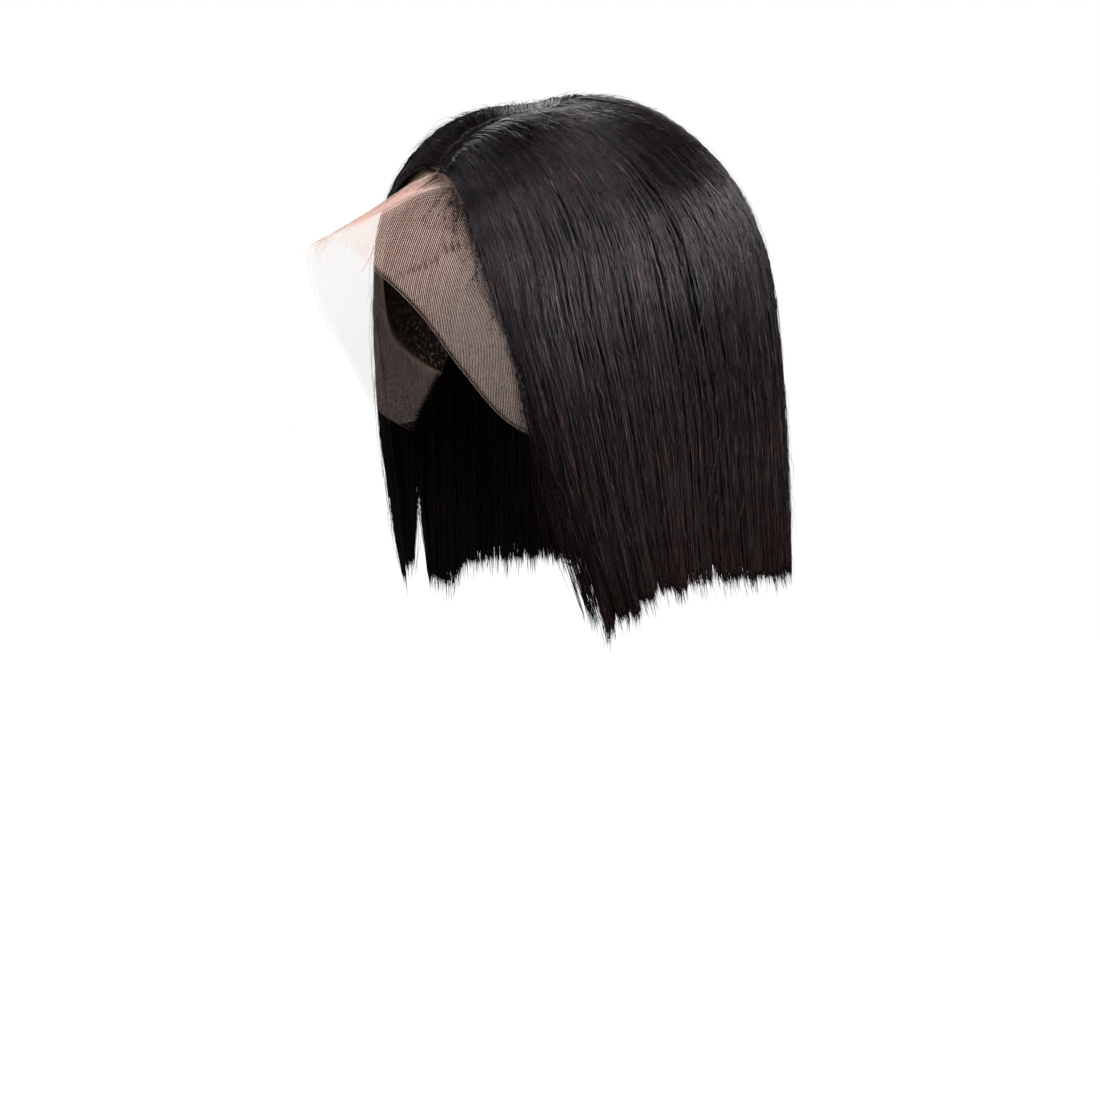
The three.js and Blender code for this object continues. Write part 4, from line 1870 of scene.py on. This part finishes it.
@dataclass
class Studio:
    """A pale floor, soft lights and a camera at the photograph's angle, in metres."""

    floor_z: float = -0.47
    floor_radius: float = 1.6
    floor_sides: int = 96
    target: tuple[float, float, float] = (0.0, 0.0, -0.242)
    azimuth: float = 50.0
    pitch: float = 6.0
    distance: float = 5.0
    lens: float = 294.5
    sensor: float = 36.0
    farthest: float = 100.0
    light_distance: float = 2.4
    white: str = "#ffffff"
    backdrop: float = 1.0
    surround: float = 0.08

    def place(self, thing: Piece, azimuth: float, pitch: float, distance: float) -> None:
        """Adds a light or camera to the scene, facing the wig.

        Args:
            thing: the object to place.
            azimuth: degrees from the front of the wig.
            pitch: degrees above it.
            distance: metres from it.
        """
        a, e = math.radians(azimuth), math.radians(pitch)
        way = Vector((math.sin(a) * math.cos(e), -math.cos(a) * math.cos(e), math.sin(e)))
        thing.location = Vector(self.target) + way * distance
        thing.rotation_euler = (-way).to_track_quat("-Z", "Y").to_euler()
        bpy.context.scene.collection.objects.link(thing)

    def floor(self) -> None:
        """Adds a round floor far below the wig, which casts no light on it."""
        bpy.ops.object.select_all(action="DESELECT")
        bpy.ops.mesh.primitive_circle_add(
            vertices=self.floor_sides,
            radius=self.floor_radius,
            fill_type="NGON",
            location=(0, 0, self.floor_z),
        )
        floor = bpy.context.object
        floor.name = "studio_floor"
        bpy.ops.object.transform_apply(location=True, rotation=True, scale=True)
        floor.data.materials.append(FloorFinish().material())
        floor.visible_diffuse = floor.visible_glossy = False

    def light(self, softbox: Softbox) -> Piece:
        """Adds a soft light that faces the wig.

        Args:
            softbox: its place, size and power.

        Returns:
            The light's object.
        """
        data = bpy.data.lights.new(softbox.name, "AREA")
        data.shape = "RECTANGLE"
        data.size = softbox.width
        data.size_y = softbox.height
        data.energy = softbox.power
        lamp = bpy.data.objects.new(softbox.name, data)
        self.place(lamp, softbox.azimuth, softbox.pitch, self.light_distance)
        return lamp

    def light_lace(self, pieces: tuple[Piece, ...]) -> None:
        """Adds a fill for the sheer lace alone, in place of the white walls that would light it.

        Args:
            pieces: the pieces that it lights.
        """
        receivers = bpy.data.collections.new("lace_pieces")
        for piece in pieces:
            receivers.objects.link(piece)
        self.light(LACE_SOFTBOX).light_linking.receiver_collection = receivers

    def camera(self) -> None:
        """Adds the photograph's view."""
        data = bpy.data.cameras.new("photo_view")
        data.lens = self.lens
        data.sensor_width = self.sensor
        data.clip_end = self.farthest
        camera = bpy.data.objects.new("photo_view", data)
        self.place(camera, self.azimuth, self.pitch, self.distance)
        bpy.context.scene.camera = camera

    def surroundings(self) -> bpy.types.World:
        """Makes a white backdrop that lights the wig less than it shows.

        Returns:
            The world.
        """
        world = bpy.data.worlds.new("pale_surround")
        world.use_nodes = True
        tree = world.node_tree
        tree.nodes.clear()
        path = add_node(tree, "LightPath")
        seen = path.outputs["Is Camera Ray"]
        strength = add_node(tree, "MapRange", (seen, 0, 1, self.surround, self.backdrop))
        backdrop = add_node(tree, "Background", (linear(self.white), strength))
        add_node(tree, "OutputWorld", (backdrop,))
        return world

    def build(self, lace: tuple[Piece, ...]) -> None:
        """Builds the floor, the lights, the pale surround and the camera.

        Args:
            lace: the pieces that have a light of their own.
        """
        self.floor()
        for softbox in SOFTBOXES:
            self.light(softbox)
        self.light_lace(lace)
        scene = bpy.context.scene
        scene.world = self.surroundings()
        scene.view_settings.view_transform = "Standard"
        self.camera()


def hair_curtains(form: HairForm) -> tuple[Curtain, ...]:
    """The five curtains of hair.

    Args:
        form: the outer form that they share.

    Returns:
        The curtains, in the order in which they are built.
    """
    near = {"form": form, "side": Side.LEFT}
    far = {"form": form, "side": Side.RIGHT, "lift": 4.5, "gap": 0.05}
    front = {
        "locks": FRONT_LOCKS,
        "span": (0, SPLIT_FRONT),
        "part_strands": 1100,
        "cap_strands": 120,
        "forward": 0.022,
        "edge_thinning": 0.6,
        "bed_start": 0.03,
        "bundle_short": 45,
    }
    side = (SPLIT_FRONT, SPLIT_SIDE)
    back = (SPLIT_SIDE, 2 - SPLIT_SIDE)
    return (
        Curtain("front_strands_left", "front_lock_left", **near, **front, longer=3, fraying=22),
        Curtain("side_strands_left", "side_hair_left", **near, locks=SIDE_LOCKS, span=side),
        Curtain("front_strands_right", "front_lock_right", **far, **front, longer=-18, fraying=10),
        Curtain("side_strands_right", "side_hair_right", **far, locks=FAR_SIDE_LOCKS, span=side),
        Curtain("back_strands", "back_hair", **near, locks=BACK_LOCKS, span=back, longer=2),
    )


def main() -> None:
    """Builds the wig piece by piece, then the studio."""
    logging.basicConfig(level=logging.INFO, format="%(message)s")
    dome = Dome()
    form = HairForm(dome)
    hair = HairFinish().material()
    for number, curtain in enumerate(hair_curtains(form), start=1):
        curtain.build(hair, SEED + number)
    lace = LaceFront(dome)
    StrayHair(form, lace).build(hair)
    Cap(dome).build(CapFinish().material())
    Studio().build(lace.build(LaceFinish().material(), ThreadFinish().material()))


if __name__ == "__main__":
    main()
